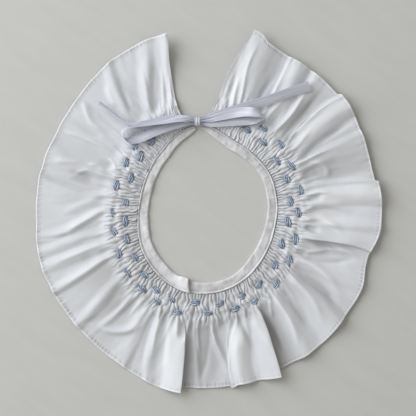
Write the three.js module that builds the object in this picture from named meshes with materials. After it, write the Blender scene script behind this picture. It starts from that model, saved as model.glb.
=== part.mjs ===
// A gathered and smocked collar, laid flat: one ruffle of fine white cloth, a folded neckband, two
// staggered rows of blue embroidery bars over the smocking, and a satin ribbon tied in a bow at the back.
//
// Millimetres, +Z up. The collar rests on z = 0. +Y points to the back opening and its bow, -Y to the
// front. Angles are degrees at the neck's centre, anticlockwise from +X, and run on past 360: the cloth
// starts at the left back end, near 103, and goes round the front to the right back end, near 452.

import * as THREE from "three";

// Driving dimensions, in millimetres, and counts.
const neckCentre = { x: 0.56, y: 1.89 }; // puts the middle of the whole collar on the origin
const clothWall = 1.0; // thickness of the open ruffle
const seamGap = 0.3; // between pieces that are sewn together
const pleatCount = 126; // gathers held by the smocking
const pleatHeight = 0.6; // crest above the middle of a gather
const smockWidth = 19; // from the neckband to where the gathers open
const smockHeight = 3.3; // thickness of the packed gathers
const smockHeightAtBand = 2.5;
const bandHeight = 2.5;
const hemWidth = 3.2; // turned and stitched edge
const hemRise = 0.45;
const ribbonWidth = 7;
const ribbonWall = 1.0;
const stitchWidth = 3.0; // three strands of floss, side by side
const stitchHeight = 1.4;
const barGap = 0.45; // from the crests it crosses

const clothColour = 0xe9ebef;
const bandColour = 0xe6e5e4;
const ribbonColour = 0xd3d5e2;
const flossColour = 0x7d94b3;

const firstAngle = 103.5; // where the gathered edge starts and ends along the neckband
const lastAngle = 452;
const degree = Math.PI / 180;

// The neckband: its inner and outer edge, as distances from the neck's centre. Both ends are drawn
// together under the knot.
const neckline = [
  { angle: 99.8, inner: 55.4, outer: 57.6 },
  { angle: 101.6, inner: 54.1, outer: 58.1 },
  { angle: 103.5, inner: 53.0, outer: 58.2 },
  { angle: 115, inner: 49.5, outer: 56.2 },
  { angle: 130, inner: 45.0, outer: 52.5 },
  { angle: 150, inner: 42.6, outer: 50.0 },
  { angle: 170, inner: 41.7, outer: 49.0 },
  { angle: 190, inner: 43.0, outer: 51.1 },
  { angle: 210, inner: 46.5, outer: 55.3 },
  { angle: 230, inner: 49.4, outer: 58.8 },
  { angle: 250, inner: 52.4, outer: 61.0 },
  { angle: 270, inner: 52.2, outer: 60.2 },
  { angle: 290, inner: 49.6, outer: 57.4 },
  { angle: 310, inner: 44.8, outer: 53.5 },
  { angle: 330, inner: 42.0, outer: 50.0 },
  { angle: 350, inner: 41.0, outer: 48.3 },
  { angle: 370, inner: 41.3, outer: 48.3 },
  { angle: 390, inner: 42.3, outer: 49.0 },
  { angle: 410, inner: 42.3, outer: 49.0 },
  { angle: 430, inner: 43.4, outer: 50.6 },
  { angle: 440, inner: 46.0, outer: 53.6 },
  { angle: 450, inner: 52.0, outer: 57.6 },
  { angle: 455.6, inner: 55.4, outer: 57.8 },
];

// The hem's distance from the neck's centre. Close pairs are the steps where a fold laps the next one.
const hemline = [
  { angle: 103.5, radius: 124.6 },
  { angle: 115, radius: 125.3 },
  { angle: 130, radius: 123.6 },
  { angle: 142, radius: 119.9 },
  { angle: 155, radius: 119.2 },
  { angle: 165, radius: 121.3 },
  { angle: 175, radius: 120.8 },
  { angle: 190, radius: 123.2 },
  { angle: 200, radius: 125.3 },
  { angle: 210, radius: 123.9 },
  { angle: 222, radius: 125.3 },
  { angle: 235, radius: 126.0 },
  { angle: 248, radius: 127.8 },
  { angle: 257, radius: 130.2 },
  { angle: 260.6, radius: 129.4 },
  { angle: 261.6, radius: 126.8 },
  { angle: 272, radius: 125.6 },
  { angle: 276.4, radius: 125.0 },
  { angle: 277.4, radius: 126.8 },
  { angle: 280, radius: 125.0 },
  { angle: 286, radius: 125.6 },
  { angle: 292.4, radius: 128.1 },
  { angle: 293.6, radius: 123.0 },
  { angle: 305, radius: 123.6 },
  { angle: 320, radius: 121.8 },
  { angle: 332, radius: 120.8 },
  { angle: 343, radius: 116.2 },
  { angle: 352, radius: 120.4 },
  { angle: 360, radius: 120.6 },
  { angle: 368.8, radius: 119.2 },
  { angle: 369.8, radius: 117.1 },
  { angle: 385, radius: 118.7 },
  { angle: 400.6, radius: 121.6 },
  { angle: 401.8, radius: 119.7 },
  { angle: 412, radius: 119.7 },
  { angle: 421.4, radius: 119.2 },
  { angle: 422.4, radius: 119.4 },
  { angle: 430, radius: 122.5 },
  { angle: 433, radius: 126.4 },
  { angle: 436, radius: 127.8 },
];

// How the two back ends slant. share is 0 at the neckband and 1 at the hem.
const backEnds = [
  { share: 0, left: 103.5, right: 452 },
  { share: 0.12, left: 106.4, right: 449.5 },
  { share: 0.25, left: 107.3, right: 446.2 },
  { share: 0.45, left: 106.4, right: 443.4 },
  { share: 0.7, left: 105.2, right: 440 },
  { share: 1, left: 103.5, right: 435.8 },
];
const leftEndReach = 9; // degrees over which the slant fades into the cloth
const rightEndReach = 34;

// Folds of the open ruffle. Each crest runs through three angles, beside the smocking, halfway and at
// the hem, with its height there. back and ahead are the widths of its two sides, towards smaller and
// larger angles. lap marks a fold that lies over its neighbour, whose edge is the narrow side.
const folds = [
  { near: 107.3, mid: 105.6, hem: 104.0, nearRise: 1.0, midRise: 4.5, hemRise: 5.5, back: 6, ahead: 6 },
  { near: 122.0, mid: 118.5, hem: 114.0, nearRise: 3.0, midRise: 6.0, hemRise: 4.0, back: 14, ahead: 11 },
  { near: 133.0, mid: 131.0, hem: 128.0, nearRise: 2.0, midRise: 4.5, hemRise: 3.0, back: 9, ahead: 9 },
  { near: 146.0, mid: 144.0, hem: 142.5, nearRise: 1.0, midRise: 2.5, hemRise: 3.5, back: 10, ahead: 9 },
  { near: 162.0, mid: 163.0, hem: 158.0, nearRise: 3.0, midRise: 3.0, hemRise: 1.5, back: 8, ahead: 7 },
  { near: 173.0, mid: 173.5, hem: 169.0, nearRise: 3.0, midRise: 5.0, hemRise: 3.5, back: 6, ahead: 15 },
  { near: 181.5, mid: 188.5, hem: 190.5, nearRise: 2.0, midRise: 5.5, hemRise: 1.5, back: 8, ahead: 5 },
  { near: 193.5, mid: 194.0, hem: 195.0, nearRise: 1.5, midRise: 3.0, hemRise: 3.0, back: 7, ahead: 7 },
  { near: 200.0, mid: 199.3, hem: 200.5, nearRise: 3.0, midRise: 4.0, hemRise: 2.5, back: 7, ahead: 7 },
  { near: 206.0, mid: 208.0, hem: 208.4, nearRise: 3.0, midRise: 5.0, hemRise: 5.0, back: 8, ahead: 4 },
  { near: 219.0, mid: 221.3, hem: 221.5, nearRise: 3.0, midRise: 5.5, hemRise: 5.0, back: 8, ahead: 6 },
  { near: 229.0, mid: 228.6, hem: 226.0, nearRise: 3.0, midRise: 3.5, hemRise: 0.5, back: 4, ahead: 4 },
  { near: 239.0, mid: 237.0, hem: 215.0, nearRise: 3.0, midRise: 5.0, hemRise: 0.0, back: 7, ahead: 6 },
  { near: 240.5, mid: 241.0, hem: 241.5, nearRise: 1.0, midRise: 3.0, hemRise: 5.0, back: 16, ahead: 5 },
  { near: 246.0, mid: 247.2, hem: 250.0, nearRise: 4.0, midRise: 4.5, hemRise: 3.0, back: 5, ahead: 9 },
  { near: 257.5, mid: 259.0, hem: 259.8, nearRise: 4.0, midRise: 7.0, hemRise: 8.0, back: 13, ahead: 2.6, lap: 2 },
  { near: 263.0, mid: 265.0, hem: 266.5, nearRise: 2.5, midRise: 3.2, hemRise: 1.0, back: 4, ahead: 4 },
  { near: 270.5, mid: 274.5, hem: 279.0, nearRise: 2.0, midRise: 3.5, hemRise: 0.0, back: 4, ahead: 4 },
  { near: 281.0, mid: 279.4, hem: 278.6, nearRise: 4.0, midRise: 7.0, hemRise: 7.5, back: 4, ahead: 11, lap: -2 },
  { near: 295.0, mid: 293.6, hem: 291.8, nearRise: 4.0, midRise: 7.0, hemRise: 7.5, back: 12, ahead: 2.8, lap: 2 },
  { near: 307.0, mid: 306.0, hem: 303.5, nearRise: 4.0, midRise: 6.0, hemRise: 4.5, back: 9, ahead: 13 },
  { near: 320.0, mid: 320.0, hem: 318.5, nearRise: 3.5, midRise: 6.0, hemRise: 5.0, back: 13, ahead: 9 },
  { near: 330.0, mid: 331.0, hem: 333.0, nearRise: 2.0, midRise: 3.2, hemRise: 2.0, back: 8, ahead: 8 },
  { near: 337.5, mid: 341.5, hem: 343.0, nearRise: 3.0, midRise: 2.0, hemRise: 0.0, back: 5, ahead: 5 },
  { near: 343.8, mid: 346.0, hem: 345.4, nearRise: 4.5, midRise: 7.0, hemRise: 3.0, back: 2.8, ahead: 12, lap: -2 },
  { near: 350.5, mid: 352.5, hem: 353.5, nearRise: 4.0, midRise: 4.5, hemRise: 2.5, back: 8, ahead: 6 },
  { near: 361.0, mid: 362.8, hem: 367.0, nearRise: 4.0, midRise: 4.5, hemRise: 2.0, back: 7, ahead: 6 },
  { near: 372.6, mid: 371.0, hem: 368.2, nearRise: 4.0, midRise: 7.0, hemRise: 6.5, back: 9, ahead: 2.8, lap: 2 },
  { near: 386.3, mid: 386.3, hem: 386.0, nearRise: 3.5, midRise: 4.5, hemRise: 3.0, back: 14, ahead: 3.5 },
  { near: 392.0, mid: 393.0, hem: 392.5, nearRise: 4.0, midRise: 6.5, hemRise: 6.0, back: 7, ahead: 14 },
  { near: 401.0, mid: 401.4, hem: 399.8, nearRise: 3.5, midRise: 5.5, hemRise: 6.0, back: 10, ahead: 2.8, lap: 2 },
  { near: 408.3, mid: 409.5, hem: 411.0, nearRise: 4.0, midRise: 5.0, hemRise: 3.5, back: 11, ahead: 4.5 },
  { near: 415.0, mid: 416.5, hem: 416.0, nearRise: 3.5, midRise: 6.0, hemRise: 5.5, back: 10, ahead: 9 },
  { near: 418.5, mid: 421.0, hem: 420.8, nearRise: 3.0, midRise: 5.5, hemRise: 5.5, back: 7, ahead: 2.8, lap: 2 },
  { near: 432.3, mid: 433.2, hem: 433.6, nearRise: 4.0, midRise: 6.5, hemRise: 6.0, back: 17, ahead: 5 },
  { near: 445.0, mid: 441.0, hem: 435.6, nearRise: 2.0, midRise: 3.5, hemRise: 4.5, back: 7, ahead: 5 },
];

// Embroidery bars: angle, distance out from the neckband, length, and turn from the neckline's direction.
const innerBars = [
  { angle: 130.5, out: 8.7, length: 7.5, turn: -4 },
  { angle: 143.0, out: 9.2, length: 8.0, turn: 6 },
  { angle: 159.0, out: 8.7, length: 7.0, turn: 8 },
  { angle: 176.0, out: 8.7, length: 5.2, turn: 0 },
  { angle: 188.8, out: 7.9, length: 8.2, turn: 3 },
  { angle: 200.5, out: 8.0, length: 7.5, turn: 6 },
  { angle: 213.7, out: 5.8, length: 7.2, turn: -8 },
  { angle: 226.0, out: 6.5, length: 6.7, turn: -12 },
  { angle: 237.5, out: 8.0, length: 7.1, turn: -11 },
  { angle: 247.8, out: 8.0, length: 5.9, turn: -14 },
  { angle: 262.0, out: 5.6, length: 7.2, turn: -2 },
  { angle: 276.3, out: 7.0, length: 7.2, turn: 10 },
  { angle: 290.3, out: 8.0, length: 6.0, turn: -2 },
  { angle: 302.9, out: 8.5, length: 7.2, turn: 5 },
  { angle: 319.3, out: 8.7, length: 6.2, turn: 4 },
  { angle: 333.7, out: 6.9, length: 6.6, turn: 0 },
  { angle: 350.0, out: 7.2, length: 7.6, turn: 3 },
  { angle: 364.0, out: 8.4, length: 7.4, turn: -3 },
  { angle: 380.5, out: 8.9, length: 7.0, turn: 3 },
  { angle: 394.8, out: 8.4, length: 7.2, turn: 3 },
  { angle: 410.9, out: 10.0, length: 7.4, turn: -6 },
  { angle: 424.4, out: 10.4, length: 6.8, turn: -12 },
];
const outerBars = [
  { angle: 127.0, out: 17.6, length: 6.8, turn: 8 },
  { angle: 140.3, out: 16.1, length: 6.5, turn: 4 },
  { angle: 151.3, out: 15.8, length: 6.6, turn: -5 },
  { angle: 166.2, out: 17.3, length: 7.5, turn: -4 },
  { angle: 182.7, out: 17.1, length: 7.4, turn: 4 },
  { angle: 194.0, out: 16.6, length: 8.0, turn: 8 },
  { angle: 206.8, out: 15.4, length: 7.7, turn: -6 },
  { angle: 218.3, out: 15.6, length: 7.8, turn: 2 },
  { angle: 230.5, out: 13.9, length: 7.6, turn: -13 },
  { angle: 241.0, out: 13.9, length: 6.6, turn: -5 },
  { angle: 253.2, out: 14.7, length: 7.2, turn: -4 },
  { angle: 269.3, out: 12.6, length: 7.2, turn: -8 },
  { angle: 284.6, out: 13.8, length: 7.0, turn: 6 },
  { angle: 296.4, out: 16.0, length: 5.8, turn: -14 },
  { angle: 311.6, out: 17.3, length: 8.2, turn: 0 },
  { angle: 326.8, out: 16.6, length: 8.2, turn: 4 },
  { angle: 340.0, out: 15.0, length: 8.2, turn: 2 },
  { angle: 357.0, out: 13.9, length: 6.6, turn: 0 },
  { angle: 371.3, out: 16.3, length: 7.3, turn: 4 },
  { angle: 387.0, out: 15.5, length: 8.0, turn: 8 },
  { angle: 401.2, out: 17.5, length: 7.8, turn: -7 },
  { angle: 415.6, out: 17.6, length: 7.4, turn: 0 },
];

// The bow. Each row is a point on a ribbon's middle line, from the neck's centre and above the table,
// with the tilt of the ribbon's face there and the share of its width that isn't gathered up.
const ribbons = {
  ribbon_loop_left: [
    { x: -10.6, y: 59.3, z: 5.2, tilt: 0, spread: 0.45 },
    { x: -16.1, y: 59.4, z: 6.2, tilt: 8, spread: 0.75 },
    { x: -22.5, y: 58.2, z: 7.0, tilt: 15, spread: 1 },
    { x: -31.0, y: 55.2, z: 7.9, tilt: 22, spread: 1 },
    { x: -41.3, y: 51.0, z: 8.2, tilt: 28, spread: 1 },
    { x: -49.7, y: 47.6, z: 8.1, tilt: 36, spread: 1 },
    { x: -56.2, y: 46.6, z: 7.9, tilt: 56, spread: 1 },
    { x: -60.0, y: 48.9, z: 8.6, tilt: 74, spread: 1 },
    { x: -60.6, y: 52.4, z: 9.3, tilt: 84, spread: 1 },
    { x: -57.2, y: 55.6, z: 10.0, tilt: 88, spread: 1 },
    { x: -49.7, y: 57.0, z: 10.8, tilt: 90, spread: 1 },
    { x: -41.3, y: 58.3, z: 10.8, tilt: 98, spread: 1 },
    { x: -31.0, y: 60.8, z: 10.4, tilt: 112, spread: 1 },
    { x: -22.0, y: 63.0, z: 9.6, tilt: 136, spread: 0.9 },
    { x: -15.2, y: 62.6, z: 8.2, tilt: 160, spread: 0.7 },
    { x: -10.6, y: 61.0, z: 7.0, tilt: 180, spread: 0.45 },
  ],
  ribbon_loop_right: [
    { x: -5.5, y: 59.2, z: 5.2, tilt: 0, spread: 0.45 },
    { x: 0.4, y: 58.9, z: 6.0, tilt: -6, spread: 0.75 },
    { x: 8.0, y: 59.4, z: 6.6, tilt: -10, spread: 0.95 },
    { x: 17.0, y: 59.9, z: 6.9, tilt: -16, spread: 1 },
    { x: 26.0, y: 60.3, z: 7.2, tilt: -24, spread: 1 },
    { x: 33.0, y: 61.2, z: 7.7, tilt: -40, spread: 1 },
    { x: 36.8, y: 63.2, z: 8.6, tilt: -72, spread: 0.95 },
    { x: 35.4, y: 65.9, z: 9.6, tilt: -118, spread: 0.95 },
    { x: 30.4, y: 67.6, z: 10.2, tilt: -146, spread: 1 },
    { x: 23.1, y: 68.2, z: 10.4, tilt: -158, spread: 1 },
    { x: 14.4, y: 67.0, z: 10.0, tilt: -162, spread: 1 },
    { x: 5.0, y: 64.2, z: 9.0, tilt: -168, spread: 0.85 },
    { x: -1.0, y: 62.2, z: 7.8, tilt: -174, spread: 0.65 },
    { x: -5.5, y: 61.0, z: 7.0, tilt: -180, spread: 0.45 },
  ],
  ribbon_tail_left: [
    { x: -10.6, y: 61.7, z: 3.6, tilt: 0, spread: 0.4 },
    { x: -16.0, y: 62.0, z: 4.4, tilt: 0, spread: 0.7 },
    { x: -24.0, y: 61.4, z: 4.9, tilt: 0, spread: 0.95 },
    { x: -35.0, y: 59.6, z: 5.3, tilt: -2, spread: 1 },
    { x: -45.0, y: 57.8, z: 5.9, tilt: -6, spread: 1 },
    { x: -53.6, y: 59.0, z: 6.3, tilt: -34, spread: 1 },
    { x: -60.4, y: 62.6, z: 7.6, tilt: -62, spread: 1 },
    { x: -67.0, y: 67.3, z: 8.2, tilt: -72, spread: 1 },
    { x: -76.3, y: 73.5, z: 7.6, tilt: -72, spread: 1 },
  ],
  ribbon_tail_right: [
    { x: -5.5, y: 61.7, z: 3.6, tilt: 0, spread: 0.4 },
    { x: 0.0, y: 62.6, z: 4.3, tilt: 0, spread: 0.75 },
    { x: 6.0, y: 64.4, z: 4.6, tilt: 2, spread: 1 },
    { x: 14.7, y: 67.0, z: 5.1, tilt: 6, spread: 1 },
    { x: 25.2, y: 70.2, z: 5.8, tilt: 10, spread: 1 },
    { x: 35.7, y: 73.2, z: 6.4, tilt: 14, spread: 1 },
    { x: 46.2, y: 76.8, z: 8.4, tilt: 16, spread: 1 },
    { x: 56.7, y: 80.5, z: 8.8, tilt: 14, spread: 1 },
    { x: 67.2, y: 84.0, z: 8.4, tilt: 12, spread: 1 },
  ],
};

// The knot is a short barrel, wrapped round the ribbons. along runs from its left face to its right.
const knot = { x: -8.05, y: 60.2, z: 5.5 };
const knotRings = [
  { along: -1.9, across: 2.3, high: 1.9 },
  { along: -1.5, across: 3.0, high: 2.5 },
  { along: -0.5, across: 3.2, high: 2.7 },
  { along: 0.5, across: 3.2, high: 2.7 },
  { along: 1.5, across: 3.0, high: 2.5 },
  { along: 1.9, across: 2.3, high: 1.9 },
];

// The folded neckband in section: across is 0 at its inner edge and 1 at the ruffle, with a corded
// ridge along the seam.
const bandSection = [
  { across: 0.03, rise: 0 },
  { across: 0, rise: 0.35 },
  { across: 0.07, rise: 0.78 },
  { across: 0.38, rise: 0.94 },
  { across: 0.7, rise: 0.82 },
  { across: 0.78, rise: 0.76 },
  { across: 0.86, rise: 1.04 },
  { across: 0.97, rise: 0.96 },
  { across: 1, rise: 0.5 },
  { across: 0.98, rise: 0 },
];
// Where the two ends of the binding are lapped, at the lower left.
const bandLap = { from: 242, to: 252, slant: 5, edge: 1.2, rise: 1.1 };

// One embroidery bar in section, as shares of its width and height.
const barSection = [
  { across: -0.5, rise: 0.3 },
  { across: -0.32, rise: 0.9 },
  { across: 0, rise: 1 },
  { across: 0.32, rise: 0.9 },
  { across: 0.5, rise: 0.3 },
  { across: 0, rise: 0 },
];
const barStations = [
  { along: -0.5, size: 0.42 },
  { along: -0.38, size: 0.86 },
  { along: 0, size: 1 },
  { along: 0.38, size: 0.86 },
  { along: 0.5, size: 0.42 },
];

// A value from a table at x, by a smooth curve that never overshoots its rows.
function tableValue(rows, across, name, x) {
  const last = rows.length - 1;
  if (x <= rows[0][across]) return rows[0][name];
  if (x >= rows[last][across]) return rows[last][name];
  let i = 0;
  while (rows[i + 1][across] < x) i++;
  const slope = (k) => {
    if (k <= 0 || k >= last) return 0;
    const before = (rows[k][name] - rows[k - 1][name]) / (rows[k][across] - rows[k - 1][across]);
    const after = (rows[k + 1][name] - rows[k][name]) / (rows[k + 1][across] - rows[k][across]);
    return before * after <= 0 ? 0 : (2 * before * after) / (before + after);
  };
  const span = rows[i + 1][across] - rows[i][across];
  const t = (x - rows[i][across]) / span;
  const t2 = t * t;
  const t3 = t2 * t;
  return (
    rows[i][name] * (2 * t3 - 3 * t2 + 1) +
    slope(i) * span * (t3 - 2 * t2 + t) +
    rows[i + 1][name] * (3 * t2 - 2 * t3) +
    slope(i + 1) * span * (t3 - t2)
  );
}

function smoothStep(low, high, x) {
  const t = Math.min(1, Math.max(0, (x - low) / (high - low)));
  return t * t * (3 - 2 * t);
}

const bandEdge = (angle) => tableValue(neckline, "angle", "outer", angle);
const hemEdge = (angle) => tableValue(hemline, "angle", "radius", angle);
const ruffleDepth = (angle) => hemEdge(angle) - bandEdge(angle) - seamGap;

// A fold's value at a share of the open ruffle, from 0 beside the smocking to 1 at the hem.
function onFold(fold, names, share) {
  const [near, mid, hem] = names.map((name) => fold[name]);
  if (share < 0.5) return near + (mid - near) * smoothStep(0, 0.5, share);
  return mid + (hem - mid) * smoothStep(0.5, 1, share);
}

// The crest's angle bends evenly through its three stations.
function crestAngle(fold, share) {
  const early = ((share - 0.5) * (share - 1)) / 0.36;
  const middle = ((share - 0.1) * (share - 1)) / -0.2;
  const late = ((share - 0.1) * (share - 0.5)) / 0.45;
  return fold.near * early + fold.mid * middle + fold.hem * late;
}

// Height of the cloth above the table: the folds run softly into each other where they meet.
function foldHeight(angle, radius, share) {
  let sum = 0;
  for (const fold of folds) {
    const aside = (angle - crestAngle(fold, share)) * degree * radius;
    const reach = aside < 0 ? fold.back : fold.ahead;
    const t = Math.abs(aside) / reach;
    if (t >= 1) continue;
    const rise = Math.max(0, onFold(fold, ["nearRise", "midRise", "hemRise"], share));
    sum += (rise * (1 - t * t * (3 - 2 * t))) ** 3;
  }
  return Math.cbrt(sum);
}

// How strongly the nearest bars pinch the gathers together at a place in the smocking, from 0 to 1.
const allBars = [...innerBars, ...outerBars];
const pinchAngle = 4.6; // degrees either side of a bar
const pinchOut = 3.2; // millimetres in and out from it
function pinch(angle, out) {
  let most = 0;
  for (const bar of allBars) {
    const x = (angle - bar.angle) / pinchAngle;
    const y = (out - bar.out) / pinchOut;
    most = Math.max(most, Math.exp(-(x ** 4) - y * y));
  }
  return most;
}

// Gathers are drawn towards each bar, so their lines zigzag between the two rows.
const drawIn = 0.42;
function drawnAngle(angle, out) {
  let moved = angle;
  for (const bar of allBars) {
    const x = (angle - bar.angle) / pinchAngle;
    const y = (out - bar.out) / pinchOut;
    moved -= drawIn * (angle - bar.angle) * Math.exp(-x * x - y * y);
  }
  return moved;
}

// An angle along the neckband, carried out to the slanted back ends.
function slantedAngle(angle, share) {
  const left = tableValue(backEnds, "share", "left", share) - firstAngle;
  const right = tableValue(backEnds, "share", "right", share) - lastAngle;
  const fromLeft = 1 - smoothStep(0, leftEndReach, angle - firstAngle);
  const fromRight = 1 - smoothStep(0, rightEndReach, lastAngle - angle);
  return angle + left * fromLeft + right * fromRight;
}

// Top and underside of the cloth at an angle and a distance out from the neckband. gather is 1 on the
// crest of a gather, -1 in the groove between two and 0 on the level between them.
function clothLevels(angle, out, gather) {
  const depth = ruffleDepth(angle);
  const radius = bandEdge(angle) + seamGap + out;
  const share = Math.max(0, (out - smockWidth) / (depth - smockWidth));
  const open = smoothStep(smockWidth - 3, smockWidth + 8, out);
  const under = foldHeight(angle, radius, share) * open;
  const packed = smockHeightAtBand + (smockHeight - smockHeightAtBand) * smoothStep(0, 6, out);
  const squeezed = pinch(angle, out);
  const thickness = clothWall + (packed - clothWall - 0.9 * squeezed) * (1 - open);
  const fade = 1 - smoothStep(smockWidth - 2, smockWidth + 9, out);
  const hem = hemRise * smoothStep(depth - hemWidth - 0.7, depth - hemWidth, out);
  const top = under + thickness + hem + gather * pleatHeight * fade * (1 - 0.6 * squeezed);
  return { under, top };
}

function place(angle, radius, z) {
  return new THREE.Vector3(
    neckCentre.x + radius * Math.cos(angle * degree),
    neckCentre.y + radius * Math.sin(angle * degree),
    z,
  );
}

// A closed solid under construction: points, and triangles that join them.
class Skin {
  constructor() {
    this.points = [];
    this.faces = [];
  }
  // A row of points, each with the place along the row that it is matched by.
  row(points, places) {
    return points.map((point, i) => {
      this.points.push(point);
      return { id: this.points.length - 1, at: places ? places[i] : i };
    });
  }
  // Joins two rows that may differ in number, always stepping on in the row that is behind.
  zip(from, to) {
    let i = 0;
    let j = 0;
    while (i < from.length - 1 || j < to.length - 1) {
      const fromNext = i < from.length - 1 ? from[i + 1].at : Infinity;
      const toNext = j < to.length - 1 ? to[j + 1].at : Infinity;
      if (fromNext <= toNext) {
        this.faces.push([from[i].id, from[i + 1].id, to[j].id]);
        i++;
      } else {
        this.faces.push([from[i].id, to[j + 1].id, to[j].id]);
        j++;
      }
    }
  }
  // Joins two closed rings of as many points.
  wrap(from, to) {
    from.forEach((point, i) => {
      const next = (i + 1) % from.length;
      this.faces.push([point.id, from[next].id, to[next].id]);
      this.faces.push([point.id, to[next].id, to[i].id]);
    });
  }
  cap(ring) {
    for (let i = 1; i < ring.length - 1; i++) this.faces.push([ring[0].id, ring[i].id, ring[i + 1].id]);
  }
  // A solid through rings of as many points, closed at both ends.
  through(rings) {
    const made = rings.map((ring) => this.row(ring));
    this.cap([...made[0]].reverse());
    for (let i = 0; i < made.length - 1; i++) this.wrap(made[i], made[i + 1]);
    this.cap(made.at(-1));
    return this.geometry();
  }
  geometry() {
    const made = new THREE.BufferGeometry();
    const numbers = this.points.flatMap((point) => point.toArray());
    made.setAttribute("position", new THREE.Float32BufferAttribute(numbers, 3));
    made.setIndex(this.faces.flat());
    made.computeVertexNormals();
    return made;
  }
}

// The angles of one row's columns: even along the row, and closer together at the edges of lapped folds.
const columnCount = 204;
const lapCloseness = 3.5;
function columnAngles(share) {
  const steps = 1600;
  const laps = folds.filter((fold) => fold.lap).map((fold) => {
    const edge = fold.lap > 0 ? fold.ahead : -fold.back;
    return crestAngle(fold, share) + edge / 2 / (110 * degree);
  });
  const low = tableValue(backEnds, "share", "left", share);
  const high = tableValue(backEnds, "share", "right", share);
  const total = [0];
  for (let i = 0; i < steps; i++) {
    const angle = low + ((high - low) * (i + 0.5)) / steps;
    const crowd = laps.reduce((sum, lap) => sum + Math.exp(-(((angle - lap) / 1.6) ** 2)), 0);
    total.push(total[i] + 1 + lapCloseness * crowd);
  }
  const angles = [];
  let i = 0;
  for (let k = 0; k <= columnCount; k++) {
    const wanted = (total[steps] * k) / columnCount;
    while (i < steps - 1 && total[i + 1] < wanted) i++;
    const part = (wanted - total[i]) / (total[i + 1] - total[i]);
    angles.push(low + ((high - low) * (i + part)) / steps);
  }
  return angles;
}

// The ruffle: one closed wall, with its gathers raised on the outside over a plain inside.
const gatherOuts = [0, 3.2, 8.2, 12, 16, 20];
const openShares = [0.1, 0.24, 0.38, 0.53, 0.68, 0.83];
const evenDepth = 68; // the usual depth of the ruffle, to place the stations on its slanted ends
const nearHem = 0.96;
function ruffleGeometry() {
  const skin = new Skin();
  const edge = (angle, out) => bandEdge(angle) + seamGap + out;
  const gatherRow = (out, flat) => {
    const angles = Array.from({ length: 2 * pleatCount + 1 }, (_, k) => {
      const along = firstAngle + ((lastAngle - firstAngle) * k) / (2 * pleatCount);
      return drawnAngle(slantedAngle(along, out / evenDepth), out);
    });
    const points = angles.map((angle, k) => {
      const { top } = clothLevels(angle, out, k % 2 ? 1 : -1);
      return place(angle, edge(angle, out), flat ? 0 : top);
    });
    return skin.row(points, angles);
  };
  const openRow = (outAt, share, side) => {
    const angles = columnAngles(share);
    const points = angles.map((angle) => {
      const out = outAt(angle);
      return place(angle, edge(angle, out), clothLevels(angle, out, 0)[side]);
    });
    return skin.row(points, angles);
  };
  const outOf = (share) => (angle) => smockWidth + (ruffleDepth(angle) - smockWidth) * share;
  const inwardOf = (inward) => (angle) => ruffleDepth(angle) - inward;
  const shareOf = (share) => (smockWidth + (evenDepth - smockWidth) * share) / evenDepth;

  const tops = [
    ...gatherOuts.map((out) => gatherRow(out, false)),
    ...openShares.map((share) => openRow(outOf(share), shareOf(share), "top")),
    openRow(inwardOf(hemWidth + 0.7), nearHem, "top"),
    openRow(inwardOf(hemWidth), nearHem, "top"),
    openRow(inwardOf(0), 1, "top"),
  ];
  const flatEdge = smockWidth - 3;
  const unders = [
    gatherRow(0, true),
    openRow(() => flatEdge, flatEdge / evenDepth, "under"),
    ...openShares.map((share) => openRow(outOf(share), shareOf(share), "under")),
    openRow(inwardOf(hemWidth), nearHem, "under"),
    openRow(inwardOf(0), 1, "under"),
  ];
  for (let i = 0; i < tops.length - 1; i++) skin.zip(tops[i + 1], tops[i]);
  for (let i = 0; i < unders.length - 1; i++) skin.zip(unders[i], unders[i + 1]);
  skin.zip(unders.at(-1), tops.at(-1));
  skin.zip(tops[0], unders[0]);
  closeEnd(skin, tops.map((row) => row[0]), unders.map((row) => row[0]), false);
  closeEnd(skin, tops.map((row) => row.at(-1)), unders.map((row) => row.at(-1)), true);
  return skin.geometry();
}

// Closes a back end between the ends of the rows above and below, matched by how far out they lie.
function closeEnd(skin, top, under, flip) {
  const middle = new THREE.Vector3(neckCentre.x, neckCentre.y, 0);
  const outwards = ({ id }) => ({ id, at: skin.points[id].clone().setZ(0).distanceTo(middle) });
  const before = skin.faces.length;
  skin.zip(under.map(outwards), top.map(outwards));
  if (!flip) return;
  for (let i = before; i < skin.faces.length; i++) skin.faces[i].reverse();
}

// The neckband: its section carried round the neck, with the lapped join at the lower left.
const bandSteps = 104;
function bandGeometry() {
  const from = neckline[0].angle;
  const to = neckline.at(-1).angle;
  const rings = Array.from({ length: bandSteps + 1 }, (_, k) => {
    const angle = from + ((to - from) * k) / bandSteps;
    const inner = tableValue(neckline, "angle", "inner", angle);
    const outer = bandEdge(angle);
    return bandSection.map(({ across, rise }) => {
      const edge = bandLap.to + bandLap.slant * across;
      const climb = smoothStep(bandLap.from, edge, angle);
      const drop = 1 - smoothStep(edge, edge + bandLap.edge, angle);
      const lap = bandLap.rise * climb * drop * Math.min(1, rise * 2);
      return place(angle, inner + (outer - inner) * across, bandHeight * rise + lap);
    });
  });
  return new Skin().through(rings);
}

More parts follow.
